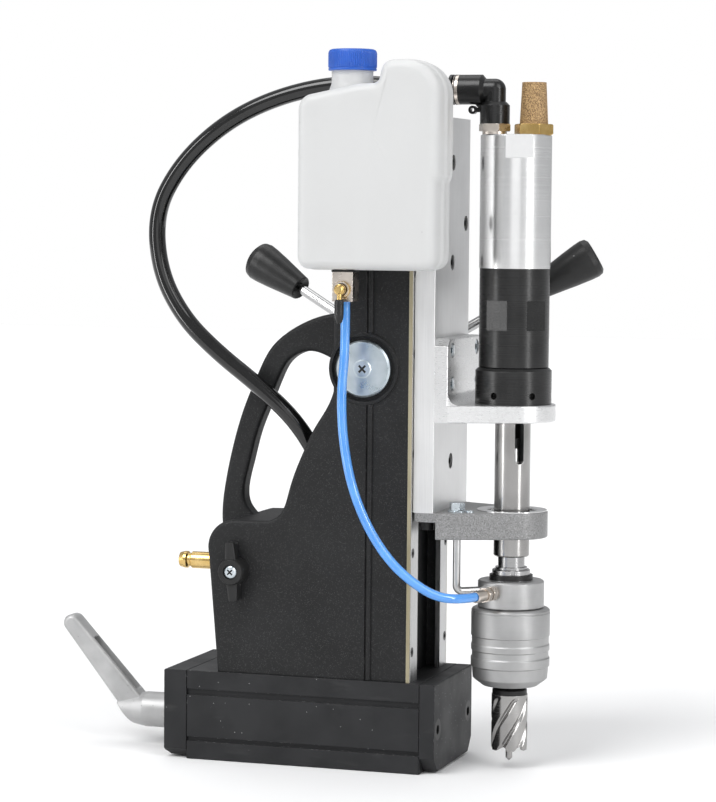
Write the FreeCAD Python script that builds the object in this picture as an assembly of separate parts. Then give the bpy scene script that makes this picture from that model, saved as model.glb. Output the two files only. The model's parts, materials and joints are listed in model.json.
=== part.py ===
"""Air-driven magnetic drill press: one STEP file per sub-part, millimetres, +Z up.

Origin: centre of the magnet foot's sole. +X points to the drill side, +Y to the feed-handle side.
"""
import FreeCAD, Part
import math
import os

os.makedirs("parts", exist_ok=True)

# ---------------------------------------------------------------- driving dimensions
# magnet foot
FOOT_REAR, FOOT_FRONT = -111.0, 119.2      # ends of the foot body
FOOT_HALF, FOOT_TOP = 64.4, 84.1           # half width and height
PLATE_REAR, PLATE_FRONT = -133.4, 133.4    # outer faces of the two end plates
PLATE_LIFT = 2.0                           # the plates stop this far above the sole
ROTOR_Z, ROTOR_R = 32.5, 25.7              # magnet rotor axis height and radius
SEAM = 0.9                                 # notch where the foot body meets its end plates

# stand casting
STAND_HALF, WALL = 62.4, 12.4              # half width, side wall thickness
STAND_FRONT, STAND_TOP = 105.0, 474.0
COLUMN_REAR = 32.0                         # rear face of the upper column
CHANNEL_HALF, CHANNEL_BACK = 47.0, 92.9    # channel that the slide's tongue runs in
PINION_X, PINION_Z = 61.7, 373.7           # feed shaft axis
BOSS_R = 33.4

# rails and slide
RAIL_BACK, RAIL_FRONT = 103.7, 108.5
RAIL_IN, RAIL_OUT = 38.0, 60.0             # half distances of the rail edges
SLIDE_HALF = 57.4
SLIDE_BACK, SLIDE_FRONT = 108.8, 128.2
SLIDE_LOW, SLIDE_TOP = 242.0, 606.0
TONGUE_HALF = 46.6
GEAR_MODULE, PINION_TEETH = 1.5, 20
PITCH_R = GEAR_MODULE * PINION_TEETH / 2

# drill axis
AXIS_X = 188.0
SPINDLE_R = 16.65
COLLAR_LOW, COLLAR_TOP = 341.5, 375.0
GEARBOX_TOP, MOTOR_TOP = 467.0, 590.0
GUIDE_LOW, GUIDE_TOP = 217.5, 242.0
RING_LOW, RING_TOP = 151.6, 177.0
FITTING_Z = 167.5
GRIP_REACH, GRIP_LENGTH = 207.4, 61.8      # feed spoke: axis to grip end, grip length
SPOKE_LEAN = math.radians(14.5)
SPOKE_START = math.radians(31.3)
FEED_HUB_Y = 83.3

# air line, coolant line and bottle
AIR_HOSE_D, COOLANT_HOSE_D = 16.0, 8.6
ELBOW_X, ELBOW_Z = 167.2, 631.8
VALVE_X, VALVE_Z = -62.7, 181.0
LOWER_ELBOW_X = 8.0
BOTTLE_NEAR, BOTTLE_BACK = -120.0, -64.9
BOTTLE_Y = (BOTTLE_NEAR + BOTTLE_BACK) / 2
BOTTLE_LOW = 465.0
NECK_X = 58.4
TAP_X, TAP_Y = 53.9, -94.2

X, Y, Z = FreeCAD.Vector(1, 0, 0), FreeCAD.Vector(0, 1, 0), FreeCAD.Vector(0, 0, 1)


# ---------------------------------------------------------------- helpers
def vec(x, y, z):
    return FreeCAD.Vector(x, y, z)


def block(x0, x1, y0, y1, z0, z1):
    return Part.makeBox(x1 - x0, y1 - y0, z1 - z0, vec(x0, y0, z0))


def rod(start, end, radius):
    return Part.makeCylinder(radius, (end - start).Length, start, end - start)


def tube(start, end, outer, inner):
    return rod(start, end, outer).cut(rod(start, end, inner))


def taper(start, end, radius_start, radius_end):
    return Part.makeCone(radius_start, radius_end, (end - start).Length, start, end - start)


def along_x(x0, x1, radius, y=0.0, z=0.0):
    return rod(vec(x0, y, z), vec(x1, y, z), radius)


def along_y(y0, y1, radius, x=0.0, z=0.0):
    return rod(vec(x, y0, z), vec(x, y1, z), radius)


def along_z(z0, z1, radius, x=0.0, y=0.0):
    return rod(vec(x, y, z0), vec(x, y, z1), radius)


def turned(base, direction, profile):
    """Revolve (radius, height) corners about the axis that starts at base."""
    corners = [vec(r, 0, h) for r, h in profile]
    face = Part.Face(Part.makePolygon(corners + corners[:1]))
    solid = face.revolve(vec(0, 0, 0), Z, 360)
    solid.Placement = FreeCAD.Placement(base, FreeCAD.Rotation(Z, direction))
    return solid


def prism(corners, depth):
    """Extrude a closed polygon of vectors along the vector depth."""
    return Part.Face(Part.makePolygon(corners + corners[:1])).extrude(depth)


def prism_xz(corners, y0, y1):
    return prism([vec(a, y0, b) for a, b in corners], vec(0, y1 - y0, 0))


def prism_xy(corners, z0, z1):
    return prism([vec(a, b, z0) for a, b in corners], vec(0, 0, z1 - z0))


def hexagon(base, direction, across_flats, height):
    radius = across_flats / math.sqrt(3)
    corners = [vec(radius * math.cos(i * math.pi / 3), radius * math.sin(i * math.pi / 3), 0)
               for i in range(6)]
    solid = prism(corners, vec(0, 0, height))
    trim = turned(vec(0, 0, 0), Z, [(0, 0), (radius * 0.93, 0), (radius, height * 0.12),
                                    (radius, height * 0.88), (radius * 0.93, height), (0, height)])
    solid = solid.common(trim)
    solid.Placement = FreeCAD.Placement(base, FreeCAD.Rotation(Z, direction))
    return solid


def fuse(first, *others):
    return first.fuse(list(others)).removeSplitter()


def cut(first, *others):
    return first.cut(list(others))


def rounded_path(corners):
    """Wire through (point, radius) corners with a tangent arc of that radius at each."""
    edges = []
    count = len(corners)
    arcs = []
    for i in range(count):
        before, (here, radius), after = corners[i - 1][0], corners[i], corners[(i + 1) % count][0]
        into = (here - before).normalize()
        out = (after - here).normalize()
        half = into.getAngle(out) / 2
        reach = radius * math.tan(half)
        bisector = (out - into).normalize()
        middle = here + bisector * (radius / math.cos(half) - radius)
        arcs.append((here - into * reach, middle, here + out * reach))
    for i in range(count):
        start, middle, end = arcs[i]
        edges.append(Part.Arc(start, middle, end).toShape())
        edges.append(Part.LineSegment(end, arcs[(i + 1) % count][0]).toShape())
    return Part.Wire(edges)


def tapered_plate(back, straight, half_width, centre, radius, z0, z1):
    """Plate with a straight back, tapering sides and a round end about the drill axis."""
    corner = vec(straight, half_width, z0)
    to_centre = vec(centre, 0, z0) - corner
    spread = math.asin(radius / to_centre.Length)
    heading = math.atan2(to_centre.y, to_centre.x) + spread
    reach = math.sqrt(to_centre.Length ** 2 - radius ** 2)
    touch = corner + vec(math.cos(heading), math.sin(heading), 0) * reach
    low_touch, low_corner = vec(touch.x, -touch.y, z0), vec(straight, -half_width, z0)
    edges = [Part.LineSegment(vec(back, -half_width, z0), vec(back, half_width, z0)).toShape(),
             Part.LineSegment(vec(back, half_width, z0), corner).toShape(),
             Part.LineSegment(corner, touch).toShape(),
             Part.Arc(touch, vec(centre + radius, 0, z0), low_touch).toShape(),
             Part.LineSegment(low_touch, low_corner).toShape(),
             Part.LineSegment(low_corner, vec(back, -half_width, z0)).toShape()]
    return Part.Face(Part.Wire(edges)).extrude(vec(0, 0, z1 - z0))


def slanted_bar(low, low_r, high, high_r, y0, y1):
    """Bar across Y whose side view is two round ends (x, z) joined by tangent lines."""
    a, b = vec(low[0], y0, low[1]), vec(high[0], y0, high[1])
    heading = math.atan2(b.z - a.z, b.x - a.x)
    spread = math.acos((low_r - high_r) / (b - a).Length)

    def rim(centre, radius, angle):
        return centre + vec(math.cos(angle), 0, math.sin(angle)) * radius

    left, right = heading + spread, heading - spread
    edges = [Part.LineSegment(rim(a, low_r, left), rim(b, high_r, left)).toShape(),
             Part.Arc(rim(b, high_r, left), rim(b, high_r, heading), rim(b, high_r, right)).toShape(),
             Part.LineSegment(rim(b, high_r, right), rim(a, low_r, right)).toShape(),
             Part.Arc(rim(a, low_r, right), rim(a, low_r, heading + math.pi), rim(a, low_r, left)).toShape()]
    return Part.Face(Part.Wire(edges)).extrude(vec(0, y1 - y0, 0))


def hose(name, route, diameter):
    """Straight runs joined by tangent arcs, swept by a round section."""
    points = [vec(*p) for p in route]
    edges = []
    last = points[0]
    radii = []
    for i in range(1, len(points) - 1):
        into, out = points[i] - points[i - 1], points[i + 1] - points[i]
        shorter = min(into.Length, out.Length)
        half = into.getAngle(out) / 2
        radius = 0.45 * shorter / math.tan(half)
        radii.append(round(radius))
        into.normalize()
        out.normalize()
        start, end = points[i] - into * (0.45 * shorter), points[i] + out * (0.45 * shorter)
        middle = points[i] + (out - into).normalize() * (radius / math.cos(half) - radius)
        edges.append(Part.LineSegment(last, start).toShape())
        edges.append(Part.Arc(start, middle, end).toShape())
        last = end
    edges.append(Part.LineSegment(last, points[-1]).toShape())
    path = Part.Wire(edges)
    section = Part.Wire(Part.Circle(points[0], points[1] - points[0], diameter / 2).toShape())
    solid = path.makePipeShell([section], True, False)
    expected = path.Length * math.pi * diameter ** 2 / 4
    print(name, "radii", radii, "length", round(path.Length, 1),
          "volume ratio", round(solid.Volume / expected, 4))
    return solid


def save(name, *shapes):
    shape = shapes[0] if len(shapes) == 1 else Part.makeCompound(list(shapes))
    assert shape.isValid(), name
    print(f"{name:24s} solids {len(shape.Solids)}  volume {shape.Volume / 1000:9.2f} cm3")
    shape.exportStep(f"parts/{name}.step")


def cap_screw(head_seat, direction, thread, length, head_r, head_h):
    """Socket cap screw: the head stands on head_seat against the screwing direction."""
    direction = vec(*direction)
    top = head_seat - direction * head_h
    body = fuse(rod(top, head_seat, head_r), rod(head_seat, head_seat + direction * length, thread))
    socket = hexagon(top, direction, head_r * 0.92, head_h * 0.6)
    return cut(body, socket)


def countersunk_screw(face, direction, head_r, thread, length):
    """Countersunk screw whose flat head lies in the plane through face."""
    direction = vec(*direction)
    head = taper(face, face + direction * (head_r - thread), head_r, thread)
    body = fuse(head, rod(face, face + direction * length, thread))
    return cut(body, hexagon(face, direction, head_r * 0.85, head_r * 0.35))


def countersink(face, direction, head_r, thread, length):
    direction = vec(*direction)
    return fuse(taper(face, face + direction * (head_r - thread), head_r, thread),
                rod(face, face + direction * length, thread))


def cross_recess(centre, direction, size, depth):
    """Cross-shaped driver recess cut into a screw head that faces against direction."""
    direction = vec(*direction)
    arms = []
    for k in range(2):
        arm = Part.makeBox(size, size * 0.22, depth, vec(-size / 2, -size * 0.11, 0))
        arm.rotate(vec(0, 0, 0), Z, 45 + 90 * k)
        arm.Placement = FreeCAD.Placement(centre, FreeCAD.Rotation(Z, direction)).multiply(arm.Placement)
        arms.append(arm)
    return arms[0].fuse(arms[1])


# ---------------------------------------------------------------- magnet foot
END_SCREW_Y, END_SCREW_Z = 52.0, 41.0
STAND_SCREWS = [(x, y) for x in (-50.0, 72.0) for y in (-46.0, 46.0)]


def foot_body():
    body = block(FOOT_REAR, FOOT_FRONT, -FOOT_HALF, FOOT_HALF, 0, FOOT_TOP)
    body = body.cut(along_x(FOOT_REAR, FOOT_FRONT, ROTOR_R + 0.3, 0, ROTOR_Z))
    for side in (-1, 1):
        for low, high in ((60.8, 66.7), (16.8, 21.1)):
            groove = block(FOOT_REAR, FOOT_FRONT, -3, 3, low, high)
            groove.translate(vec(0, side * FOOT_HALF, 0))
            body = body.cut(groove)
    for x in (FOOT_REAR, FOOT_FRONT - SEAM):
        ring = block(x, x + SEAM, -FOOT_HALF - 1, FOOT_HALF + 1, -1, FOOT_TOP + 1)
        core = block(x, x + SEAM, -FOOT_HALF + SEAM, FOOT_HALF - SEAM, -1, FOOT_TOP - SEAM)
        body = body.cut(ring.cut(core))
    for x, y in STAND_SCREWS:
        body = cut(body, along_z(0, 66, 7.2, x, y), along_z(66, FOOT_TOP, 4.3, x, y))
    return body


def end_plate_rear():
    half, low = FOOT_HALF, PLATE_LIFT
    outline = [(-half, 9), (-half + 7, low), (half - 7, low), (half, 9), (half, FOOT_TOP),
               (-half, FOOT_TOP)]
    plate = prism([vec(PLATE_REAR, a, b) for a, b in outline], vec(FOOT_REAR - PLATE_REAR, 0, 0))
    plate = plate.cut(prism_xz([(PLATE_REAR - 1, low - 1), (PLATE_REAR + 6, low - 1),
                                (PLATE_REAR - 1, low + 6)], -half - 1, half + 1))
    plate = plate.cut(prism_xz([(PLATE_REAR - 1, FOOT_TOP + 1), (PLATE_REAR + 2, FOOT_TOP + 1),
                                (PLATE_REAR - 1, FOOT_TOP - 2)], -half - 1, half + 1))
    plate = plate.cut(along_x(PLATE_REAR, FOOT_REAR, 14, 0, ROTOR_Z))
    for side in (-1, 1):
        place = vec(PLATE_REAR, side * END_SCREW_Y, END_SCREW_Z)
        plate = plate.cut(countersink(place, (1, 0, 0), 10, 5, 22.4))
    return plate


def end_plate_front():
    half, low = FOOT_HALF, PLATE_LIFT
    outline = [(-half, 15), (-half + 12, low), (half - 12, low), (half, 15), (half, FOOT_TOP),
               (-half, FOOT_TOP)]
    plate = prism([vec(FOOT_FRONT, a, b) for a, b in outline], vec(PLATE_FRONT - FOOT_FRONT, 0, 0))
    plate = plate.cut(prism_xz([(PLATE_FRONT + 1, FOOT_TOP + 1), (PLATE_FRONT - 2, FOOT_TOP + 1),
                                (PLATE_FRONT + 1, FOOT_TOP - 2)], -half - 1, half + 1))
    plate = plate.cut(along_x(FOOT_FRONT, FOOT_FRONT + 10, 12, 0, ROTOR_Z))
    for side in (-1, 1):
        place = vec(PLATE_FRONT, side * END_SCREW_Y, END_SCREW_Z)
        plate = plate.cut(countersink(place, (-1, 0, 0), 10, 5, 14.2))
    return plate


def magnet_rotor():
    """Rotor with two rows of magnet pockets, journals and the lever's drive shaft."""
    rotor = fuse(along_x(-110.7, 118.9, ROTOR_R, 0, ROTOR_Z), along_x(-150, -110.7, 10, 0, ROTOR_Z),
                 along_x(118.9, 128.8, 8, 0, ROTOR_Z))
    for x in MAGNET_STARTS:
        rotor = rotor.cut(magnet(x))
    return rotor


MAGNET_STARTS = (-100.0, -46.0, 8.0, 62.0)


def magnet(x):
    return block(x, x + 48, -6, 6, ROTOR_Z - 20, ROTOR_Z + 20)


foot = foot_body()
rear_plate, front_plate = end_plate_rear(), end_plate_front()
end_screws = []
for side in (-1, 1):
    for face, direction in ((PLATE_FRONT, -1), (PLATE_REAR, 1)):
        spot = vec(face, side * END_SCREW_Y, END_SCREW_Z)
        end_screws.append(countersunk_screw(spot, (direction, 0, 0), 10, 5, 38))
foot = cut(foot, *end_screws)
save("foot_body", foot)
save("end_plate_rear", rear_plate)
save("end_plate_front", front_plate)
save("end_plate_screws", *end_screws)
save("magnet_rotor", magnet_rotor())
save("rotor_magnets", *[magnet(x) for x in MAGNET_STARTS])
save("rotor_bushes",
     tube(vec(PLATE_REAR, 0, ROTOR_Z), vec(FOOT_REAR, 0, ROTOR_Z), 14, 10.05),
     tube(vec(FOOT_FRONT, 0, ROTOR_Z), vec(FOOT_FRONT + 10, 0, ROTOR_Z), 12, 8.05))
save("stand_screws", *[cap_screw(vec(x, y, 66), (0, 0, 1), 4, 26, 6.5, 8) for x, y in STAND_SCREWS])


LEVER_LOW, LEVER_HIGH = (-189.5, 39.1), (-253.9, 113.7)    # round ends of the arm's side view
LEVER_LOW_R, LEVER_HIGH_R, LEVER_HALF = 12.2, 8.3, 10.5


def magnet_lever():
    """Die-cast lever: round hub on the rotor shaft, its end cut slanting, and a channelled arm up and back."""
    hub = turned(vec(-134.4, 0, ROTOR_Z), -X, [(0, 0), (15.5, 0), (17, 1.5), (17, 42), (12, 70), (0, 70)])
    hub = hub.cut(prism_xz([(-165.9, -10), (-221.8, 60), (-270, 60), (-270, -10)], -30, 30))
    arm = slanted_bar(LEVER_LOW, LEVER_LOW_R, LEVER_HIGH, LEVER_HIGH_R, -LEVER_HALF, LEVER_HALF)
    arm = arm.makeFillet(4.5, [e for e in arm.Edges if e.BoundBox.YLength < 0.1])
    along, outward = vec(-0.697, 0, 0.717), vec(0.717, 0, 0.697)
    foot_point = vec(-179.7, -6.5, 47.3)
    corners = [foot_point + along * s + outward * d for s, d in ((5, 6), (74, 6), (74, -9), (9, -9))]
    channel = prism(corners, vec(0, 13, 0))
    channel = channel.makeFillet(2.5, channel.Edges)
    screw_seat = vec(-195.5, 0, 27)
    slanting = vec(-0.781, 0, -0.624)
    screw = rod(screw_seat - slanting * 4, screw_seat + slanting * 2.2, 3.8)
    lever = fuse(hub, arm, screw).cut(channel)
    return cut(lever, along_x(-150, -134, 10, 0, ROTOR_Z))


save("magnet_lever", magnet_lever())

# ---------------------------------------------------------------- stand casting
def side_profile():
    """Side view of the casting: low rear hump, hollow curve up to the column."""
    def at(x, z):
        return vec(x, -STAND_HALF, z)

    curve = Part.BSplineCurve()
    curve.interpolate([at(-32, 229), at(-18, 238), at(-11.5, 256), at(-3.9, 279), at(4.3, 298),
                       at(12.4, 315), at(25.9, 337), at(COLUMN_REAR, 352)])
    edges = [Part.LineSegment(at(-80.7, FOOT_TOP), at(-90.4, 196)).toShape(),
             Part.Arc(at(-90.4, 196), at(-86.5, 217), at(-69, 228)).toShape(),
             Part.LineSegment(at(-69, 228), at(-32, 229)).toShape(),
             curve.toShape(),
             Part.LineSegment(at(COLUMN_REAR, 352), at(COLUMN_REAR, STAND_TOP)).toShape(),
             Part.LineSegment(at(COLUMN_REAR, STAND_TOP), at(STAND_FRONT, STAND_TOP)).toShape(),
             Part.LineSegment(at(STAND_FRONT, STAND_TOP), at(STAND_FRONT, FOOT_TOP)).toShape(),
             Part.LineSegment(at(STAND_FRONT, FOOT_TOP), at(-80.7, FOOT_TOP)).toShape()]
    body = Part.Face(Part.Wire(edges)).extrude(vec(0, 2 * STAND_HALF, 0))
    rims = [e for e in body.Edges if e.BoundBox.YLength < 0.1 and e.BoundBox.XMin < STAND_FRONT - 1
            and e.BoundBox.ZMax > FOOT_TOP + 1]
    return body.makeFillet(3, rims)


HANDLE_HALF = 10.0


def handle():
    """Carrying handle: a flat bar that leaves the column and comes down on the rear hump."""
    def at(x, z):
        return vec(x, -HANDLE_HALF, z)

    outer, inner = Part.BSplineCurve(), Part.BSplineCurve()
    outer.interpolate([at(44, 421), at(4, 420), at(-23.8, 408.3), at(-47.5, 389), at(-61.5, 363.2),
                       at(-74.2, 333.3), at(-86.9, 291), at(-93.9, 257), at(-96.8, 228), at(-91, 196)])
    inner.interpolate([at(-52, 214), at(-64, 228), at(-73, 240), at(-74.4, 251), at(-68.9, 278.2),
                       at(-61.1, 308), at(-51.3, 332.6), at(-38.8, 362.5), at(-31.8, 374.7),
                       at(-21, 383), at(-9.3, 386), at(8.9, 381.2), at(44, 364)])
    edges = [outer.toShape(), Part.LineSegment(at(-91, 196), at(-52, 196)).toShape(),
             Part.LineSegment(at(-52, 196), at(-52, 214)).toShape(), inner.toShape(),
             Part.LineSegment(at(44, 364), at(44, 421)).toShape()]
    bar = Part.Face(Part.Wire(edges)).extrude(vec(0, 2 * HANDLE_HALF, 0))
    return bar.makeFillet(3.5, [e for e in bar.Edges if e.Length > 150])


RAIL_SCREW_Z = (112.0, 204.0, 296.0, 388.0, 462.0)
RAIL_SCREW_Y = 54.5
RECESS_R, RECESS_FLOOR = 30.5, 59.0
BUSH_R, SHAFT_R = 14.0, 11.0


def stand_casting():
    body = side_profile()
    body = body.fuse(along_y(-STAND_HALF - 0.8, STAND_HALF + 0.8, BOSS_R, PINION_X, PINION_Z))
    body = body.fuse(handle())
    pocket_half = STAND_HALF - WALL
    body = body.cut([block(-78, 40, -pocket_half, pocket_half, 95, 205),
                     block(-24, 40, -pocket_half, pocket_half, 205, 345)])
    body = body.fuse(handle().common(block(-100, 44, -HANDLE_HALF, HANDLE_HALF, 205, 430)).cut(
        block(-24, 20, -HANDLE_HALF, HANDLE_HALF, 200, 230)))
    for side in (-1, 1):
        step = prism_xy([(64.6, side * 64), (64.6, side * 60.9), (66.6, side * 60.9), (66.6, side * 61.1),
                         (STAND_FRONT + 1, side * 61.1), (STAND_FRONT + 1, side * 64)], FOOT_TOP, STAND_TOP)
        step = step.cut(along_y(-70, 70, BOSS_R, PINION_X, PINION_Z))
        bead = along_z(FOOT_TOP, STAND_TOP, 1.8, 68.2, side * 60.4)
        rebate = block(RAIL_BACK, STAND_FRONT + 1, min(side * RAIL_IN, side * RAIL_OUT),
                       max(side * RAIL_IN, side * RAIL_OUT), FOOT_TOP, STAND_TOP)
        body = body.cut([step, rebate]).fuse(bead)
        recess = along_y(min(side * RECESS_FLOOR, side * 64), max(side * RECESS_FLOOR, side * 64),
                         RECESS_R, PINION_X, PINION_Z)
        body = body.cut(recess)
    rack_slot = block(73.5, CHANNEL_BACK, -10.6, 10.6, FOOT_TOP, STAND_TOP)
    channel = block(CHANNEL_BACK, STAND_FRONT + 1, -CHANNEL_HALF, CHANNEL_HALF, FOOT_TOP, STAND_TOP)
    body = body.cut([channel, rack_slot, along_y(-12.5, 12.5, 17.6, PINION_X, PINION_Z),
                     along_y(-64, 64, SHAFT_R + 0.4, PINION_X, PINION_Z)])
    for side in (-1, 1):
        near, far = sorted((side * 43.0, side * RECESS_FLOOR))
        body = body.cut(along_y(near, far, BUSH_R, PINION_X, PINION_Z))
    body = body.cut([along_x(-100, -70, 10.6, 0, VALVE_Z), along_y(-64, -45, 4.4, VALVE_X, VALVE_Z)])
    body = body.cut(rail_screws() + stand_screw_shanks() + bracket_screw_shanks())
    return body.removeSplitter()


def rail_screws():
    return [countersunk_screw(vec(RAIL_FRONT, side * RAIL_SCREW_Y, z), (-1, 0, 0), 4.6, 2.5, 18)
            for side in (-1, 1) for z in RAIL_SCREW_Z]


def stand_screw_shanks():
    return [along_z(FOOT_TOP, 92, 4, x, y) for x, y in STAND_SCREWS]


def bracket_screw_shanks():
    return [along_z(STAND_TOP - 14, STAND_TOP, 3, x, -42) for x in (50.0, 80.0)]


save("stand_casting", stand_casting())

rails = []
for side in (-1, 1):
    low, high = sorted((side * RAIL_IN, side * RAIL_OUT))
    holes = [countersink(vec(RAIL_FRONT, side * RAIL_SCREW_Y, z), (-1, 0, 0), 4.6, 2.5, 18)
             for z in RAIL_SCREW_Z]
    rails.append(block(RAIL_BACK, RAIL_FRONT, low, high, FOOT_TOP, STAND_TOP).cut(holes))
save("guide_rails", *rails)
save("rail_screws", *rail_screws())
save("side_strips", *[block(STAND_FRONT, 108.2, *sorted((side * 60.2, side * 62.2)), FOOT_TOP, STAND_TOP)
                      for side in (-1, 1)])
save("pinion_bushes", *[tube(vec(PINION_X, side * 43, PINION_Z), vec(PINION_X, side * RECESS_FLOOR, PINION_Z),
                             BUSH_R, SHAFT_R + 0.05) for side in (-1, 1)])

# ---------------------------------------------------------------- feed shaft and cross
def pinion_gear():
    """Spur pinion with straight-sided teeth, a tooth gap facing +X."""
    outer, root = PITCH_R + GEAR_MODULE, PITCH_R - 1.25 * GEAR_MODULE
    step = 2 * math.pi / PINION_TEETH
    corners = []
    for i in range(PINION_TEETH):
        middle = (i + 0.5) * step
        for radius, share in ((root, -0.33), (outer, -0.11), (outer, 0.11), (root, 0.33)):
            angle = middle + share * step
            corners.append((PINION_X + radius * math.cos(angle), PINION_Z + radius * math.sin(angle)))
    return prism_xz(corners, -10, 10)


def spoke_frame(i):
    """Direction of spoke i: 120 degrees apart, leaning away from the stand."""
    turn = SPOKE_START + i * 2 * math.pi / 3
    flat = math.cos(SPOKE_LEAN)
    return vec(flat * math.cos(turn), math.sin(SPOKE_LEAN), flat * math.sin(turn))


hub_centre = vec(PINION_X, FEED_HUB_Y, PINION_Z)
shaft = fuse(along_y(-59.4, 100, SHAFT_R, PINION_X, PINION_Z), pinion_gear())
shaft = shaft.cut(along_y(-60, -40, 4, PINION_X, PINION_Z))
hub = turned(vec(PINION_X, 64.0, PINION_Z), Y, [(SHAFT_R, 0), (20, 0), (23, 3), (26, 12), (26, 28),
                                                (20, 38), (SHAFT_R, 38)])
spokes, grips = [], []
for i in range(3):
    way = spoke_frame(i)
    grip_start = hub_centre + way * (GRIP_REACH - GRIP_LENGTH)
    grip_end = hub_centre + way * GRIP_REACH
    spokes.append(rod(hub_centre + way * 13, grip_start + way * 22, 5))
    hub = hub.cut(spokes[-1])
    profile = [(0, 22), (5, 22), (5, 4), (9, 1.5), (11.2, 0), (12.2, 1.2), (14.8, 18), (17.3, 34),
               (19.1, 48), (19.6, 55), (18.6, 59.5), (15.5, GRIP_LENGTH), (0, GRIP_LENGTH)]
    grips.append(turned(grip_start, way, profile))
shaft = shaft.cut(spokes)
save("pinion_shaft", shaft)
save("feed_hub", hub)
save("feed_spokes", *spokes)
save("feed_grips", *grips)
DISC_FACE = -66.4
disc = turned(vec(PINION_X, -59.4, PINION_Z), -Y, [(0, 0), (26.3, 0), (26.3, 5.0), (24.6, 7.0), (0, 7.0)])
disc_screw = taper(vec(PINION_X, DISC_FACE, PINION_Z), vec(PINION_X, DISC_FACE - 0.8, PINION_Z), 8.5, 7.6)
disc_screw = disc_screw.fuse(along_y(DISC_FACE, -48, 4, PINION_X, PINION_Z))
disc_screw = disc_screw.cut(cross_recess(vec(PINION_X, DISC_FACE - 0.8, PINION_Z), (0, 1, 0), 9, 2.4))
save("shaft_disc", fuse(disc, disc_screw))

# ---------------------------------------------------------------- slide
SLIDE_SCREW_Z = (286.0, 378.8, 471.6, 564.4)


def slide_screws():
    centre = [cap_screw(vec(SLIDE_FRONT - 9, 0, z), (-1, 0, 0), 4, 38, 6.5, 8) for z in SLIDE_SCREW_Z]
    outer = [cap_screw(vec(SLIDE_FRONT - 9, y, 508), (-1, 0, 0), 4, 8, 6.5, 8) for y in (-44.7, 44.7)]
    return centre + outer


def slide_body():
    body = block(SLIDE_BACK, SLIDE_FRONT, -SLIDE_HALF, SLIDE_HALF, SLIDE_LOW, SLIDE_TOP)
    body = body.makeFillet(0.8, [e for e in body.Edges if e.Length > 300])
    neck = block(103.4, SLIDE_BACK + 2, -RAIL_IN + 0.3, RAIL_IN - 0.3, SLIDE_LOW, SLIDE_TOP)
    tongue = block(93.2, 103.4, -TONGUE_HALF, TONGUE_HALF, SLIDE_LOW, SLIDE_TOP)
    body = fuse(body, neck, tongue)
    for z in SLIDE_SCREW_Z:
        body = body.cut([along_x(SLIDE_FRONT - 9, SLIDE_FRONT, 7.3, 0, z), along_x(80, SLIDE_FRONT, 4, 0, z)])
    for y in (-44.7, 44.7):
        body = body.cut([along_x(SLIDE_FRONT - 9, SLIDE_FRONT, 7.3, y, 508),
                         along_x(SLIDE_FRONT - 17, SLIDE_FRONT, 4, y, 508)])
    body = body.cut(motor_bracket_screws() + tail_screws())
    return body


def rack():
    """Toothed bar on the back of the tongue, a tooth centred on the pinion axis."""
    pitch = math.pi * GEAR_MODULE
    pitch_x = PINION_X + PITCH_R
    tip, root = pitch_x - GEAR_MODULE, pitch_x + 1.25 * GEAR_MODULE
    low_count, high_count = 22, 16
    low, high = PINION_Z - (low_count + 0.5) * pitch, PINION_Z + (high_count + 0.5) * pitch
    corners = [(93.2, low), (root, low)]
    for i in range(-low_count, high_count + 1):
        centre = PINION_Z + i * pitch
        corners += [(root, centre - 0.34 * pitch), (tip, centre - 0.12 * pitch),
                    (tip, centre + 0.12 * pitch), (root, centre + 0.34 * pitch)]
    corners += [(root, high), (93.2, high)]
    return prism_xz(corners, -10, 10)


MOTOR_SCREWS = [(y, z) for y in (-42.0, 42.0) for z in (360.8, 391.8)]
BRACKET_FACE, BRACKET_LOW, BRACKET_TOP = 141.0, 325.5, 402.7
BRACKET_CORNER, BRACKET_FILLET = 7.2, 10.0


def motor_bracket_screws():
    return [cap_screw(vec(BRACKET_FACE - 9, y, z), (-1, 0, 0), 4, 17, 6.5, 8) for y, z in MOTOR_SCREWS]


def tail_screws():
    return [cap_screw(vec(118.7, y, 233.5), (0, 0, 1), 4, 26, 6.5, 8) for y in (-44.0, 44.0)]


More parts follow.
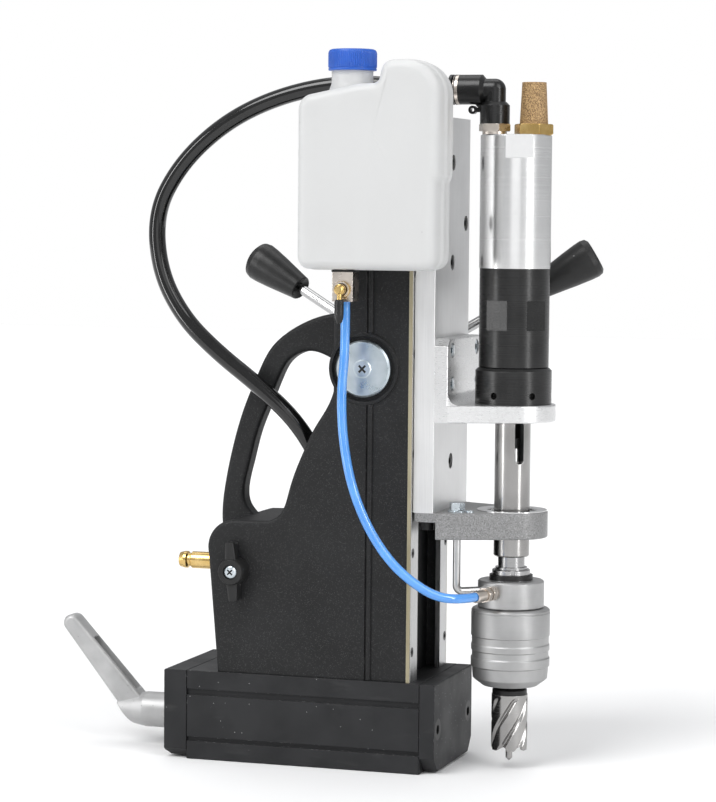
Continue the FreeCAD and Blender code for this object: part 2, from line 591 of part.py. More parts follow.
def motor_bracket():
    """L-shaped bracket: upright flange on the slide, shelf with a round end under the motor."""
    def plate(z0, z1):
        return tapered_plate(SLIDE_FRONT, BRACKET_FACE, SLIDE_HALF, AXIS_X, 39.6, z0, z1)

    shelf = plate(BRACKET_LOW, COLLAR_LOW)
    shelf = shelf.makeFillet(1.5, [e for e in shelf.Edges if e.BoundBox.ZLength < 0.1
                                   and e.BoundBox.XMax > BRACKET_FACE + 1])
    half, corner = SLIDE_HALF, BRACKET_CORNER
    outline = [(-half, BRACKET_LOW), (half, BRACKET_LOW), (half, BRACKET_TOP - corner),
               (half - corner, BRACKET_TOP), (-half + corner, BRACKET_TOP), (-half, BRACKET_TOP - corner)]
    flange = prism([vec(SLIDE_FRONT, y, z) for y, z in outline], vec(BRACKET_FACE - SLIDE_FRONT, 0, 0))
    flange = flange.makeFillet(1.5, [e for e in flange.Edges if e.BoundBox.XMin > BRACKET_FACE - 0.1
                                     and e.BoundBox.ZMax > BRACKET_LOW + 1])
    reach = BRACKET_FILLET
    inside = prism_xz([(BRACKET_FACE, COLLAR_LOW), (BRACKET_FACE + reach, COLLAR_LOW),
                       (BRACKET_FACE, COLLAR_LOW + reach)], -half + 1.5, half - 1.5)
    inside = inside.cut(along_y(-half, half, reach, BRACKET_FACE + reach, COLLAR_LOW + reach))
    inside = inside.common(plate(COLLAR_LOW - 0.1, COLLAR_LOW + reach + 1))
    body = fuse(shelf, flange, inside)
    body = body.cut([along_z(325, 342, 20, AXIS_X)] + motor_bracket_screws())
    for y, z in MOTOR_SCREWS:
        body = body.cut(along_x(BRACKET_FACE - 9, BRACKET_FACE + 1, 6.9, y, z))
    return body


screws_in_rack = [along_x(80, SLIDE_FRONT, 4, 0, z) for z in SLIDE_SCREW_Z]
toothed_bar = rack()
save("slide", slide_body())
save("rack", toothed_bar.cut(screws_in_rack))
save("slide_cap_screws", *slide_screws(), *motor_bracket_screws(), *tail_screws())
save("motor_bracket", motor_bracket())

# ---------------------------------------------------------------- motor and gearbox
AXIS = vec(AXIS_X, 0, 0)


def on_axis(profile):
    return turned(AXIS, Z, profile)


def ring_on_axis(z0, z1, outer, inner):
    return tube(vec(AXIS_X, 0, z0), vec(AXIS_X, 0, z1), outer, inner)


def clamp_collar():
    collar = on_axis([(25, COLLAR_LOW), (35.5, COLLAR_LOW), (35.5, COLLAR_TOP - 2.5), (33, COLLAR_TOP),
                      (25, COLLAR_TOP)])
    for k in range(6):
        angle = math.radians(-46 + 60 * k)
        way = vec(math.cos(angle), math.sin(angle), 0)
        start = vec(AXIS_X, 0, 350) + way * 30
        collar = collar.cut(rod(start, start + way * 8, 3.25))
    return collar


def flats(solid, half_gap, z0, z1, angles):
    """Cut wrench flats at the given headings, half_gap from the axis."""
    for degrees in angles:
        tool = block(half_gap, half_gap + 12, -40, 40, z0, z1)
        tool.rotate(vec(0, 0, 0), Z, degrees)
        tool.translate(AXIS)
        solid = solid.cut(tool)
    return solid


def gear_housing():
    shell = on_axis([(28, COLLAR_TOP), (31.5, COLLAR_TOP), (32.5, COLLAR_TOP + 1), (32.5, GEARBOX_TOP),
                     (28, GEARBOX_TOP)])
    return flats(shell, 30.6, 410, 437.6, (-35, -107, 73, 145))


def motor_housing():
    shell = on_axis([(28, GEARBOX_TOP), (33, GEARBOX_TOP), (33, MOTOR_TOP - 1), (32, MOTOR_TOP),
                     (0, MOTOR_TOP), (0, MOTOR_TOP - 6), (28, MOTOR_TOP - 6)])
    shell = flats(shell, 30.5, 568.5, MOTOR_TOP, (-70, 110))
    return shell.cut([along_z(MOTOR_TOP - 6, MOTOR_TOP, 9, ELBOW_X), along_z(MOTOR_TOP - 6, MOTOR_TOP, 10, 204.5)])


save("clamp_collar", clamp_collar())
save("gear_housing", gear_housing())
save("motor_housing", motor_housing())
save("spindle_bearings",
     ring_on_axis(343.5, 353.5, 25, 15.05), ring_on_axis(359, 369, 25, 15.05))
ROTOR_LOW, ROTOR_HIGH = 412.0, 570.0
end_plate = ring_on_axis(402, 410, 28, 6.05)
top_plate = ring_on_axis(572, 580, 28, 6.05)
save("motor_liner", fuse(ring_on_axis(410, 572, 28, 25), end_plate, top_plate))
air_rotor = fuse(along_z(ROTOR_LOW, ROTOR_HIGH, 22.0, AXIS_X), along_z(390, 579, 6, AXIS_X))
vanes = []
for k in range(5):
    vane = block(13, 24.4, -1.5, 1.5, ROTOR_LOW, ROTOR_HIGH)
    vane.rotate(vec(0, 0, 0), Z, 72 * k)
    vane.translate(AXIS)
    air_rotor = air_rotor.cut(vane)
    vanes.append(vane)
save("air_rotor", air_rotor)
save("rotor_vanes", *vanes)


def push_in_elbow():
    """Elbow in its own frame: thread down along -Z at the origin, hose arm along -X."""
    body = turned(vec(0, 0, 10.2), Z, [(0, 0), (13.8, 0), (13.8, 17), (10.9, 20), (0, 20)])
    arm_z = ELBOW_Z - MOTOR_TOP
    arm = turned(vec(0, 0, arm_z), -X, [(0, 9), (10.3, 9), (13.8, 12), (13.8, 33), (0, 33)])
    bend = fuse(along_z(24, arm_z, 10.0), Part.makeSphere(10.0, vec(0, 0, arm_z)),
                along_x(-12, 0, 10.0, 0, arm_z))
    web = prism_xz([(-13, 22), (-10, arm_z - 10), (-20, arm_z - 12)], -2, 2)
    lug = along_y(-3, 3, 3.9, -20.9, 23.1)
    bridge = block(-20, -10, -2.5, 2.5, 21, 25)
    body = fuse(body, arm, bend, web, lug, bridge)
    bore = [along_x(-40, 0, 5.5, 0, arm_z), along_z(0, arm_z, 5.5), along_x(-36, -15, 8.35, 0, arm_z),
            along_y(-5, 5, 1.7, -20.9, 23.1), along_x(-34, -28, 10.2, 0, arm_z)]
    return body.cut(bore)


def elbow_nut():
    """Nickel hexagon with its sealing washer and threaded stub."""
    nut = fuse(hexagon(vec(0, 0, 3.2), Z, 26, 7.0), along_z(0, 3.2, 11.4), along_z(-6, 0, 8.95))
    return nut.cut(along_z(-10, 11, 5.5))


def elbow_band():
    arm_z = ELBOW_Z - MOTOR_TOP
    return tube(vec(-37.6, 0, arm_z), vec(-33, 0, arm_z), 13.9, 10.2)


def release_collar():
    """Ring that is pressed in to let the hose go."""
    arm_z = ELBOW_Z - MOTOR_TOP
    flange = tube(vec(-42.3, 0, arm_z), vec(-39.4, 0, arm_z), 14, 8.6)
    sleeve = tube(vec(-39.4, 0, arm_z), vec(-30.5, 0, arm_z), 9.9, 8.6)
    return fuse(flange, sleeve)


UPPER = FreeCAD.Placement(vec(ELBOW_X, 0, MOTOR_TOP), FreeCAD.Rotation())
ELBOW_SEAT_X = LOWER_ELBOW_X - (ELBOW_Z - MOTOR_TOP)
LOWER = FreeCAD.Placement(vec(ELBOW_SEAT_X, 0, VALVE_Z), FreeCAD.Rotation(Y, 90))
upper_parts = {"elbow": [push_in_elbow()], "elbow_nickel": [elbow_nut(), elbow_band()],
               "release_collar": [release_collar()]}
for name, shapes in upper_parts.items():
    for shape in shapes:
        shape.Placement = UPPER.multiply(shape.Placement)
    save(name, *shapes)
lower_elbow = fuse(push_in_elbow(), elbow_nut(), elbow_band())
lower_elbow.Placement = LOWER.multiply(lower_elbow.Placement)
save("lower_elbow", lower_elbow)
silencer_x = 204.5
hex_body = fuse(hexagon(vec(silencer_x, 0, MOTOR_TOP), Z, 32, 9.8), along_z(MOTOR_TOP - 6, MOTOR_TOP, 10, silencer_x))
save("silencer_hex", hex_body.cut(along_z(MOTOR_TOP - 6, MOTOR_TOP + 10, 7, silencer_x)))
save("silencer_cone", turned(vec(silencer_x, 0, MOTOR_TOP + 9.8), Z,
                             [(0, 38.3), (11.2, 38.3), (13.1, 0), (8, 0), (7, 34), (0, 34)]))

# ---------------------------------------------------------------- guide bracket and coolant ring
ARM_X, ARM_Y, ARM_Z = 144.5, -33.0, 168.0
ARM_R, ARM_BEND = 3.55, 5.5
BUSH_OUTER = 25.0


def guide_bracket():
    """Cast arm under the slide: thin tail against the slide, round end about the spindle."""
    body = tapered_plate(130.5, 131.0, SLIDE_HALF, AXIS_X, 33.5, GUIDE_LOW, GUIDE_TOP)
    body = body.makeFillet(1.5, [e for e in body.Edges if e.BoundBox.ZLength < 0.1
                                 and e.BoundBox.XMin > 130.6])
    tail = block(110.5, 131.5, -SLIDE_HALF, SLIDE_HALF, 233.5, GUIDE_TOP)
    body = fuse(body, tail)
    return body.cut([along_z(GUIDE_LOW - 1, GUIDE_TOP + 1, BUSH_OUTER, AXIS_X),
                     along_z(GUIDE_LOW - 1, GUIDE_TOP + 1, ARM_R, ARM_X, ARM_Y)] + tail_screws())


def guide_bush():
    """Flanged bush with a counterbore round the spindle."""
    inner = SPINDLE_R + 0.05
    return on_axis([(inner, GUIDE_LOW - 0.5), (BUSH_OUTER, GUIDE_LOW - 0.5), (BUSH_OUTER, GUIDE_TOP),
                    (32.6, GUIDE_TOP), (32.6, GUIDE_TOP + 1.0), (24.2, GUIDE_TOP + 1.0), (23.0, GUIDE_TOP - 0.2),
                    (23.0, GUIDE_TOP - 6), (inner, GUIDE_TOP - 6)])


def torque_arm():
    """Round bar down from the guide bracket, bent at its foot into the coolant ring."""
    across = (vec(AXIS_X, 0, 0) - vec(ARM_X, ARM_Y, 0)).normalize()
    corner = vec(ARM_X, ARM_Y, ARM_Z)
    top, end = vec(ARM_X, ARM_Y, GUIDE_TOP + 6), vec(AXIS_X, 0, ARM_Z) - across * 27
    above, beyond = corner + Z * ARM_BEND, corner + across * ARM_BEND
    middle = corner + (Z + across) * ARM_BEND * (1 - math.sqrt(0.5))
    line = Part.Wire([Part.makeLine(top, above), Part.Arc(above, middle, beyond).toShape(),
                      Part.makeLine(beyond, end)])
    section = Part.Wire([Part.makeCircle(ARM_R, top, -Z)])
    return line.makePipeShell([section], True, False)


def flange_nut():
    base = vec(ARM_X, ARM_Y, GUIDE_TOP)
    nut = fuse(turned(base, Z, [(0, 0), (8.95, 0), (8.95, 0.8), (7.4, 2.0), (0, 2.0)]),
               hexagon(base + Z * 1.5, Z, 13, 7.0))
    return nut.cut(along_z(GUIDE_TOP, GUIDE_TOP + 6, ARM_R, ARM_X, ARM_Y))


FITTING_WAY = vec(-0.2595, -0.9657, 0).normalize()
FITTING_BASE = vec(AXIS_X, 0, FITTING_Z)


def coolant_ring():
    ring = on_axis([(20.08, RING_LOW), (30.0, RING_LOW), (30.95, RING_LOW + 1), (30.95, RING_TOP - 1.5),
                    (29.5, RING_TOP), (20.08, RING_TOP)])
    groove = ring_on_axis(163.5, 171.5, 22.5, 20)
    return ring.cut([groove, torque_arm(), rod(FITTING_BASE + FITTING_WAY * 19, FITTING_BASE + FITTING_WAY * 32, 2.5),
                     rod(FITTING_BASE + FITTING_WAY * 24, FITTING_BASE + FITTING_WAY * 30.2, 4.8),
                     rod(FITTING_BASE + FITTING_WAY * 30.2, FITTING_BASE + FITTING_WAY * 34, 5.6)])


def coolant_fitting():
    def station(r):
        return FITTING_BASE + FITTING_WAY * r

    body = fuse(rod(station(24), station(38), 4.8), hexagon(station(35), FITTING_WAY, 13, 7.2),
                rod(station(42), station(52), 4.9), hexagon(station(44.4), FITTING_WAY, 13, 6.0),
                turned(station(51.6), FITTING_WAY, [(0, 0), (5.6, 0), (5.6, 13.6), (5.1, 15.4), (0, 15.4)]))
    return body.cut([rod(station(23), station(68), 2.5), rod(station(56), station(68), COOLANT_HOSE_D / 2 + 0.1),
                     rod(station(62), station(68), COOLANT_HOSE_D / 2 + 0.4)])


save("guide_bracket", guide_bracket())
save("guide_bush", guide_bush())
save("torque_arm", torque_arm())
save("flange_nut", flange_nut())
save("coolant_ring", coolant_ring())
save("coolant_fitting", coolant_fitting())

# ---------------------------------------------------------------- spindle, chuck and cutter
SLOT_HEADING = math.radians(-53)
SLOT_LOW, SLOT_HIGH = 290.5, 321.5


def spindle():
    """Hollow spindle with a drift slot, bearing seat and a driving flange on top."""
    body = on_axis([(12, 199.2), (15.6, 199.2), (SPINDLE_R, 200.4), (SPINDLE_R, 342), (15, 342), (15, 376),
                    (26, 376), (26, 383), (0, 383), (0, 330), (9, 330), (9, 300)])
    slot = fuse(block(0, 40, -4.5, 4.5, SLOT_LOW, SLOT_HIGH), along_x(0, 40, 4.5, 0, SLOT_LOW),
                along_x(0, 40, 4.5, 0, SLOT_HIGH))
    slot = slot.fuse(slot.mirror(vec(0, 0, 0), X))
    slot.rotate(vec(0, 0, 0), Z, math.degrees(SLOT_HEADING))
    slot.translate(AXIS)
    return body.cut(slot).removeSplitter()


def arbor():
    """Taper shank with its tang, neck, seat and the core that the chuck is built on."""
    body = on_axis([(0, 300), (8.9, 300), (11.9, 200), (12.45, 198.9), (12.45, 189.2), (15, 189.2), (15, 182),
                    (20.25, 182), (20.25, 177.4), (20.0, 177.4), (20.0, 150.8), (27, 150.8), (27, 84), (9.6, 84),
                    (9.6, 131), (3.5, 133), (3.5, 176), (0, 176)])
    tang = block(-8, 8, -3.2, 3.2, 298, 309)
    tang.rotate(vec(0, 0, 0), Z, math.degrees(SLOT_HEADING) + 90)
    tang.translate(AXIS)
    holes = [rod(vec(AXIS_X, 0, 167.5), vec(AXIS_X + 30 * math.cos(a), 30 * math.sin(a), 167.5), 2)
             for a in (0.0, math.pi / 2, math.pi, 1.5 * math.pi)]
    return fuse(body, tang).cut(holes)


def ring_nut():
    nut = ring_on_axis(182.2, 187.0, 17.8, 15.0)
    lower = on_axis([(15, 182.2), (17.8, 182.2), (17.8, 186.2), (17.0, 187), (15, 187)])
    nut = nut.common(lower)
    for k in range(4):
        notch = block(15.8, 20, -2, 2, 182, 188)
        notch.rotate(vec(0, 0, 0), Z, 90 * k + 20)
        notch.translate(AXIS)
        nut = nut.cut(notch)
    return nut


def chuck_sleeve():
    """Grip sleeve over the chuck core: rounded shoulder, two raised bands round the waist, bevelled nose."""
    shoulder = [(27.3, 151.2), (34.0, 151.2), (35.6, 150.4), (36.5, 149.2), (36.6, 148.2), (36.2, 147.8),
                (36.2, 147.2), (36.8, 146.8), (36.8, 125.4)]
    waist = [(36.05, 124.6), (36.05, 118.2), (36.7, 116.9), (36.7, 112.0), (35.8, 111.1), (35.9, 105.8),
             (36.9, 104.4), (36.8, 97.0), (35.6, 95.9)]
    nose = [(34.8, 85.4), (33.6, 84.2), (26.0, 78.4), (20.5, 78.2), (20.5, 83.7), (27.3, 83.7)]
    return on_axis(shoulder + waist + nose)


def core_drill():
    """Hollow cutter with a plain shank, collar and six gullets at the rim."""
    body = on_axis([(3.25, 130), (9.5, 130), (9.5, 78), (13.2, 78), (16.2, 74), (16.2, 69.6), (16.85, 69.6),
                    (16.85, 17.6), (13.2, 17.6), (13.2, 64), (3.25, 64)])
    for k in range(6):
        notch = block(12, 18, -2.5, 2.5, 16, 24)
        notch.rotate(vec(0, 0, 0), Z, 60 * k)
        notch.translate(AXIS)
        body = body.cut(notch)
    return body


save("spindle", spindle())
save("arbor", arbor())
save("ring_nut", ring_nut())
save("chuck_sleeve", chuck_sleeve())
save("core_drill", core_drill())
save("pilot_pin", on_axis([(0, 6.2), (3.17, 9.4), (3.17, 160), (0, 160)]))

# ---------------------------------------------------------------- air valve
def air_valve():
    body = fuse(block(-78, -46, -15, 15, VALVE_Z - 15, VALVE_Z + 15),
                along_x(-91.5, -78, 10.5, 0, VALVE_Z), along_x(-46, ELBOW_SEAT_X, 11, 0, VALVE_Z))
    return body.cut([Part.makeSphere(10.1, vec(VALVE_X, 0, VALVE_Z)), along_x(-92, ELBOW_SEAT_X, 5, 0, VALVE_Z),
                     along_x(ELBOW_SEAT_X - 8.2, ELBOW_SEAT_X + 1, 9, 0, VALVE_Z),
                     along_y(-16, 0, 4.1, VALVE_X, VALVE_Z)])


def air_nipple():
    """Quick-coupling nipple with its hexagon against the valve stub."""
    profile = [(4.5, 0), (10.5, 0), (10.5, 3), (8.2, 4), (8.2, 39.5), (6.6, 41), (6.6, 43.5), (8.2, 45),
               (8.2, 48), (7.0, 52.6), (4.5, 52.6)]
    shape = turned(vec(-91.5, 0, VALVE_Z), -X, [(r, h * 50.3 / 52.6) for r, h in profile])
    nut = hexagon(vec(-91.5, 0, VALVE_Z), -X, 22, 8).cut(along_x(-100, -91, 4.5, 0, VALVE_Z))
    return fuse(shape, nut)


def valve_knob():
    """Wing knob, hub and two tapered wings, tilted a little from upright."""
    centre = vec(VALVE_X, -63.0, VALVE_Z)
    hub = turned(centre, -Y, [(0, 0), (13.5, 0), (12.8, 12), (11.5, 15), (6.8, 15), (6.8, 13), (0, 13)])
    wing = prism_xz([(-4.2, -27.5), (4.2, -27.5), (6.4, 0), (4.2, 27.5), (-4.2, 27.5), (-6.4, 0)], 0, -13)
    wing = wing.makeFillet(2.2, [e for e in wing.Edges if e.Length > 12.5])
    wing.rotate(vec(0, 0, 0), Y, -4)
    wing.translate(centre)
    body = fuse(hub, wing)
    screw = turned(centre - Y * 12.5, -Y, [(0, 0), (6.3, 0), (6.3, 1.6), (4.5, 3.0), (0, 3.0)])
    screw = screw.cut(cross_recess(centre - Y * 15.5, (0, 1, 0), 6.5, 1.4))
    return fuse(body, screw).cut(rod(centre, centre - Y * 9, 4))


stem = fuse(along_y(-72, -9, 4, VALVE_X, VALVE_Z),
            Part.makeSphere(9.8, vec(VALVE_X, 0, VALVE_Z))).cut(along_x(-75, -50, 5, 0, VALVE_Z))
save("air_valve", air_valve())
save("valve_ball_stem", stem)
save("air_nipple", air_nipple())
save("valve_knob", valve_knob())

# ---------------------------------------------------------------- coolant bottle and tap
def bottle_outline(inset, y):
    """Outline of the bottle's side view, drawn in by inset."""
    left, right, low = 13.3 + inset, 148.4 - inset, BOTTLE_LOW + inset
    shoulder, crown = 630.0 - inset, 655.0 - inset
    corners = [((left, low), 12), ((left, shoulder - 2), 12), ((88 + inset, shoulder + 2), 5),
               ((93 + inset, crown), 7), ((right - 6, crown), 33), ((right, 610), 30), ((right, low), 14)]
    return rounded_path([(vec(x, y, z), radius - min(inset, 2)) for (x, z), radius in corners])


def bottle():
    depth = BOTTLE_BACK - BOTTLE_NEAR
    wall = 1.8
    outer = Part.Face(bottle_outline(0, BOTTLE_NEAR)).extrude(vec(0, depth, 0))
    inner = Part.Face(bottle_outline(wall, BOTTLE_NEAR + wall)).extrude(vec(0, depth - 2 * wall, 0))
    outer = outer.makeFillet(8, [e for e in outer.Edges if e.BoundBox.YLength < 0.1])
    inner = inner.makeFillet(8 - wall, [e for e in inner.Edges if e.BoundBox.YLength < 0.1])
    outer = outer.fuse(along_z(620, 662, 19, NECK_X, BOTTLE_Y))
    hollow = inner.fuse(along_z(620, 663, 16.8, NECK_X, BOTTLE_Y))
    return outer.cut([hollow, along_z(460, 470, 5, TAP_X, TAP_Y)])


def bottle_cap():
    cap = tube(vec(NECK_X, BOTTLE_Y, 645), vec(NECK_X, BOTTLE_Y, 664.5), 22.2, 19.4)
    lid = along_z(662.4, 664.5, 22.2, NECK_X, BOTTLE_Y)
    cap = fuse(cap, lid)
    return cap.cut(turned(vec(NECK_X, BOTTLE_Y, 664.5), -Z, [(21.2, 0), (25, 0), (25, 4)]))


def tap_block():
    """Square outlet block under the bottle with a short boss for the tap."""
    body = block(44.1, 63.7, -104.0, -84.4, 436.5, BOTTLE_LOW)
    body = body.makeFillet(0.6, [e for e in body.Edges if e.Length > 20])
    body = fuse(body, along_z(BOTTLE_LOW - 1, 472, 5, TAP_X, TAP_Y), along_y(-107, -100, 7.3, TAP_X, 447.5))
    return body.cut([along_z(440, 473, 2.2, TAP_X, TAP_Y), along_z(436, 442, COOLANT_HOSE_D / 2 + 0.15, TAP_X, TAP_Y),
                     along_y(-108, -90, 3.05, TAP_X, 447.5)])


def tap_lever():
    """Plug with its boss, and the rod that hangs from it inside a tapered sleeve."""
    boss = turned(vec(TAP_X, -107.3, 447.5), -Y, [(0, 0), (5.2, 0), (5.2, 7.5), (4.4, 9), (0, 9)])
    sleeve = turned(vec(TAP_X, -112, 438.2), -Z, [(0, 0), (3.6, 0), (4.1, 1), (4.1, 14), (3.3, 18.5),
                                                  (1.4, 21.5), (0, 21.8)])
    plug = along_y(-108, -93.5, 3, TAP_X, 447.5)
    return fuse(boss, plug, along_z(433, 447.5, 2.4, TAP_X, -112), sleeve)


def bottle_bracket():
    """Steel angle: foot on top of the casting, upright leaf behind the bottle."""
    foot_leaf = block(40, 90, -64.9, -20, STAND_TOP, STAND_TOP + 3)
    upright = block(30, 125, -64.9, -62.7, STAND_TOP, 600)
    body = fuse(foot_leaf, upright)
    return body.cut([along_z(STAND_TOP, STAND_TOP + 4, 3.2, x, -42) for x in (50.0, 80.0)])


save("coolant_bottle", bottle())
save("bottle_cap", bottle_cap())
save("tap_block", tap_block())
save("tap_lever", tap_lever())
save("bottle_bracket", bottle_bracket())
save("bottle_bracket_screws", *[cap_screw(vec(x, -42, STAND_TOP + 3), (0, 0, -1), 3, 16, 5, 6) for x in (50.0, 80.0)])

# ---------------------------------------------------------------- hoses
AIR_ROUTE = [(146, 0, 631.8), (98, 0, 631.8), (50, -3, 638), (-1, -5, 636), (-55, -6, 622), (-101, -8, 598),
             (-141, -10, 561), (-165, -12, 516), (-160, -14, 460), (-134, -17, 415), (-96, -21, 382),
             (-56, -24, 354), (-20, -24, 324), (1, -12, 287), (8, 0, 254), (8, 0, 203)]
COOLANT_ROUTE = [(173.2, -55, 167.5), (165.9, -82.1, 167.5), (145, -98, 170), (122, -104, 184), (100, -104, 203),
                 (79, -102, 232), (63, -100, 268), (54, -98, 309), (51, -96, 351), (54.5, -94.5, 393),
                 (TAP_X, TAP_Y, 441)]
save("air_hose", hose("air hose", AIR_ROUTE, AIR_HOSE_D))
save("coolant_hose", hose("coolant hose", COOLANT_ROUTE, COOLANT_HOSE_D))
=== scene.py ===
"""Looks of the air-driven magnetic drill press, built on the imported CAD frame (metres)."""
import bpy
import json
import math
from mathutils import Matrix, Vector


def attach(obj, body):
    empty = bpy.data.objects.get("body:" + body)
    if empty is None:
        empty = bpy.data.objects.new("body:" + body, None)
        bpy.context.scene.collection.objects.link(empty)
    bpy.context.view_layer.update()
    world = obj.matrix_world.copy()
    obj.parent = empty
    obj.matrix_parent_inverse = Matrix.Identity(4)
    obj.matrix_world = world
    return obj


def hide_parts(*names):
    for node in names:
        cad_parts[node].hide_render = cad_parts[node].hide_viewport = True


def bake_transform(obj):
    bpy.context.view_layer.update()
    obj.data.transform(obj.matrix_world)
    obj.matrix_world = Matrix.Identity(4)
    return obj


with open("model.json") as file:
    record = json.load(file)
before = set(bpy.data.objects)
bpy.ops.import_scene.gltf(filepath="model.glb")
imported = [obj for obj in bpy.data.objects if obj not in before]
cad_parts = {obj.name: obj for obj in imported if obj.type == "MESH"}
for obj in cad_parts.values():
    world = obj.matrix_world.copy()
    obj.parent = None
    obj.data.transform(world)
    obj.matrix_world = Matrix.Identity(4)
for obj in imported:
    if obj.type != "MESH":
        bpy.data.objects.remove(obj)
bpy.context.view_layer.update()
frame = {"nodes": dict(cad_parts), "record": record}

MM = 0.001
scene = bpy.context.scene

# ---------------------------------------------------------------- camera
CAMERA_AT = Vector((0.8404, -2.5125, 0.5156))
CAMERA_TURN, CAMERA_PITCH, CAMERA_ROLL = (math.radians(a) for a in (17.74, 3.82, 0.49))
LENS, SENSOR_HEIGHT = 125.5, 36.0


def make_camera():
    """Camera of the photograph: long lens, a little from the drill side, looking slightly down."""
    forward = Vector((-math.sin(CAMERA_TURN) * math.cos(CAMERA_PITCH),
                      math.cos(CAMERA_TURN) * math.cos(CAMERA_PITCH), -math.sin(CAMERA_PITCH)))
    flat_right = Vector((math.cos(CAMERA_TURN), math.sin(CAMERA_TURN), 0))
    flat_up = flat_right.cross(forward)
    right = flat_right * math.cos(CAMERA_ROLL) + flat_up * math.sin(CAMERA_ROLL)
    up = right.cross(forward)
    data = bpy.data.cameras.new("camera")
    data.lens = LENS
    data.sensor_fit = "VERTICAL"
    data.sensor_height = SENSOR_HEIGHT
    data.clip_end = 50
    camera = bpy.data.objects.new("camera", data)
    scene.collection.objects.link(camera)
    rotation = Matrix((right, up, -forward)).transposed()
    camera.matrix_world = Matrix.Translation(CAMERA_AT) @ rotation.to_4x4()
    scene.camera = camera


make_camera()

# ---------------------------------------------------------------- mesh helpers
def link(obj):
    scene.collection.objects.link(obj)
    return obj


def mesh_piece(name, verts, faces, sharp=30):
    mesh = bpy.data.meshes.new(name)
    mesh.from_pydata([tuple(v) for v in verts], [], faces)
    mesh.validate()
    mesh.shade_smooth()
    mesh.set_sharp_from_angle(angle=math.radians(sharp))
    return link(bpy.data.objects.new(name, mesh))


def bridge(faces, a, b, count, closed=True):
    """Quads between two rings of count vertices that start at indices a and b."""
    for i in range(count if closed else count - 1):
        j = (i + 1) % count
        faces.append((a + i, a + j, b + j, b + i))


def axes_for(direction):
    direction = Vector(direction).normalized()
    side = direction.orthogonal().normalized()
    return side, direction.cross(side), direction


def lathe(name, base, direction, profile, steps=96, sharp=30):
    """Revolve (radius, height) points in millimetres about a line through base."""
    u, v, w = axes_for(direction)
    base = Vector(base)
    verts, faces = [], []
    for r, h in profile:
        for k in range(steps):
            a = 2 * math.pi * k / steps
            verts.append(base + (u * math.cos(a) + v * math.sin(a)) * r * MM + w * h * MM)
    for i in range(len(profile) - 1):
        bridge(faces, i * steps, (i + 1) * steps, steps)
    faces.append(tuple(reversed(range(steps))))
    faces.append(tuple(range((len(profile) - 1) * steps, len(profile) * steps)))
    return mesh_piece(name, verts, faces, sharp)


def spline_points(route, resolution=14):
    """Points along the smooth NURBS line whose control points are the route's."""
    curve = bpy.data.curves.new("route", "CURVE")
    curve.dimensions = "3D"
    spline = curve.splines.new("NURBS")
    spline.points.add(len(route) - 1)
    for point, place in zip(spline.points, route):
        point.co = (*place, 1)
    spline.order_u = 3
    spline.use_endpoint_u = True
    spline.resolution_u = resolution
    obj = link(bpy.data.objects.new("route", curve))
    bpy.context.view_layer.update()
    line = bpy.data.meshes.new_from_object(obj.evaluated_get(bpy.context.evaluated_depsgraph_get()))
    points = [v.co.copy() for v in line.vertices]
    bpy.data.objects.remove(obj)
    return points


def tube(name, points, diameter, steps=40):
    """Round tube along the points, its section carried along without twist."""
    verts, faces = [], []
    heading = (points[1] - points[0]).normalized()
    side = heading.orthogonal().normalized()
    for i, point in enumerate(points):
        ahead, behind = points[min(i + 1, len(points) - 1)], points[max(i - 1, 0)]
        heading = (ahead - behind).normalized()
        side = (side - heading * side.dot(heading)).normalized()
        other = heading.cross(side)
        for k in range(steps):
            a = 2 * math.pi * k / steps
            verts.append(point + (side * math.cos(a) + other * math.sin(a)) * diameter / 2)
    for i in range(len(points) - 1):
        bridge(faces, i * steps, (i + 1) * steps, steps)
    faces.append(tuple(reversed(range(steps))))
    faces.append(tuple(range((len(points) - 1) * steps, len(points) * steps)))
    return mesh_piece(name, verts, faces, 60)


# ---------------------------------------------------------------- hoses
AIR_DIAMETER, COOLANT_DIAMETER = 0.016, 0.0086
AIR_ROUTE = [(0.146, 0, 0.6318), (0.098, 0, 0.6318), (0.050, -0.003, 0.638), (-0.001, -0.005, 0.636),
             (-0.055, -0.006, 0.622), (-0.101, -0.008, 0.598), (-0.141, -0.010, 0.561),
             (-0.165, -0.012, 0.516), (-0.160, -0.014, 0.460), (-0.134, -0.017, 0.415),
             (-0.096, -0.021, 0.382), (-0.056, -0.024, 0.354), (-0.020, -0.024, 0.324),
             (0.001, -0.012, 0.287), (0.008, 0, 0.254), (0.008, 0, 0.203)]
COOLANT_ROUTE = [(0.1732, -0.055, 0.1675), (0.1659, -0.0821, 0.1675), (0.145, -0.098, 0.170),
                 (0.122, -0.104, 0.184), (0.100, -0.104, 0.203), (0.079, -0.102, 0.232),
                 (0.063, -0.100, 0.268), (0.054, -0.098, 0.309), (0.051, -0.096, 0.351),
                 (0.0545, -0.0945, 0.393), (0.0539, -0.0942, 0.441)]


def make_hose(name, route, diameter, node):
    points = spline_points(route)
    hose = tube(name, points, diameter)
    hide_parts(node)
    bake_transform(hose)
    return hose


air_hose = make_hose("air_line", AIR_ROUTE, AIR_DIAMETER, "air_hose")
coolant_hose = make_hose("coolant_line", COOLANT_ROUTE, COOLANT_DIAMETER, "coolant_hose")

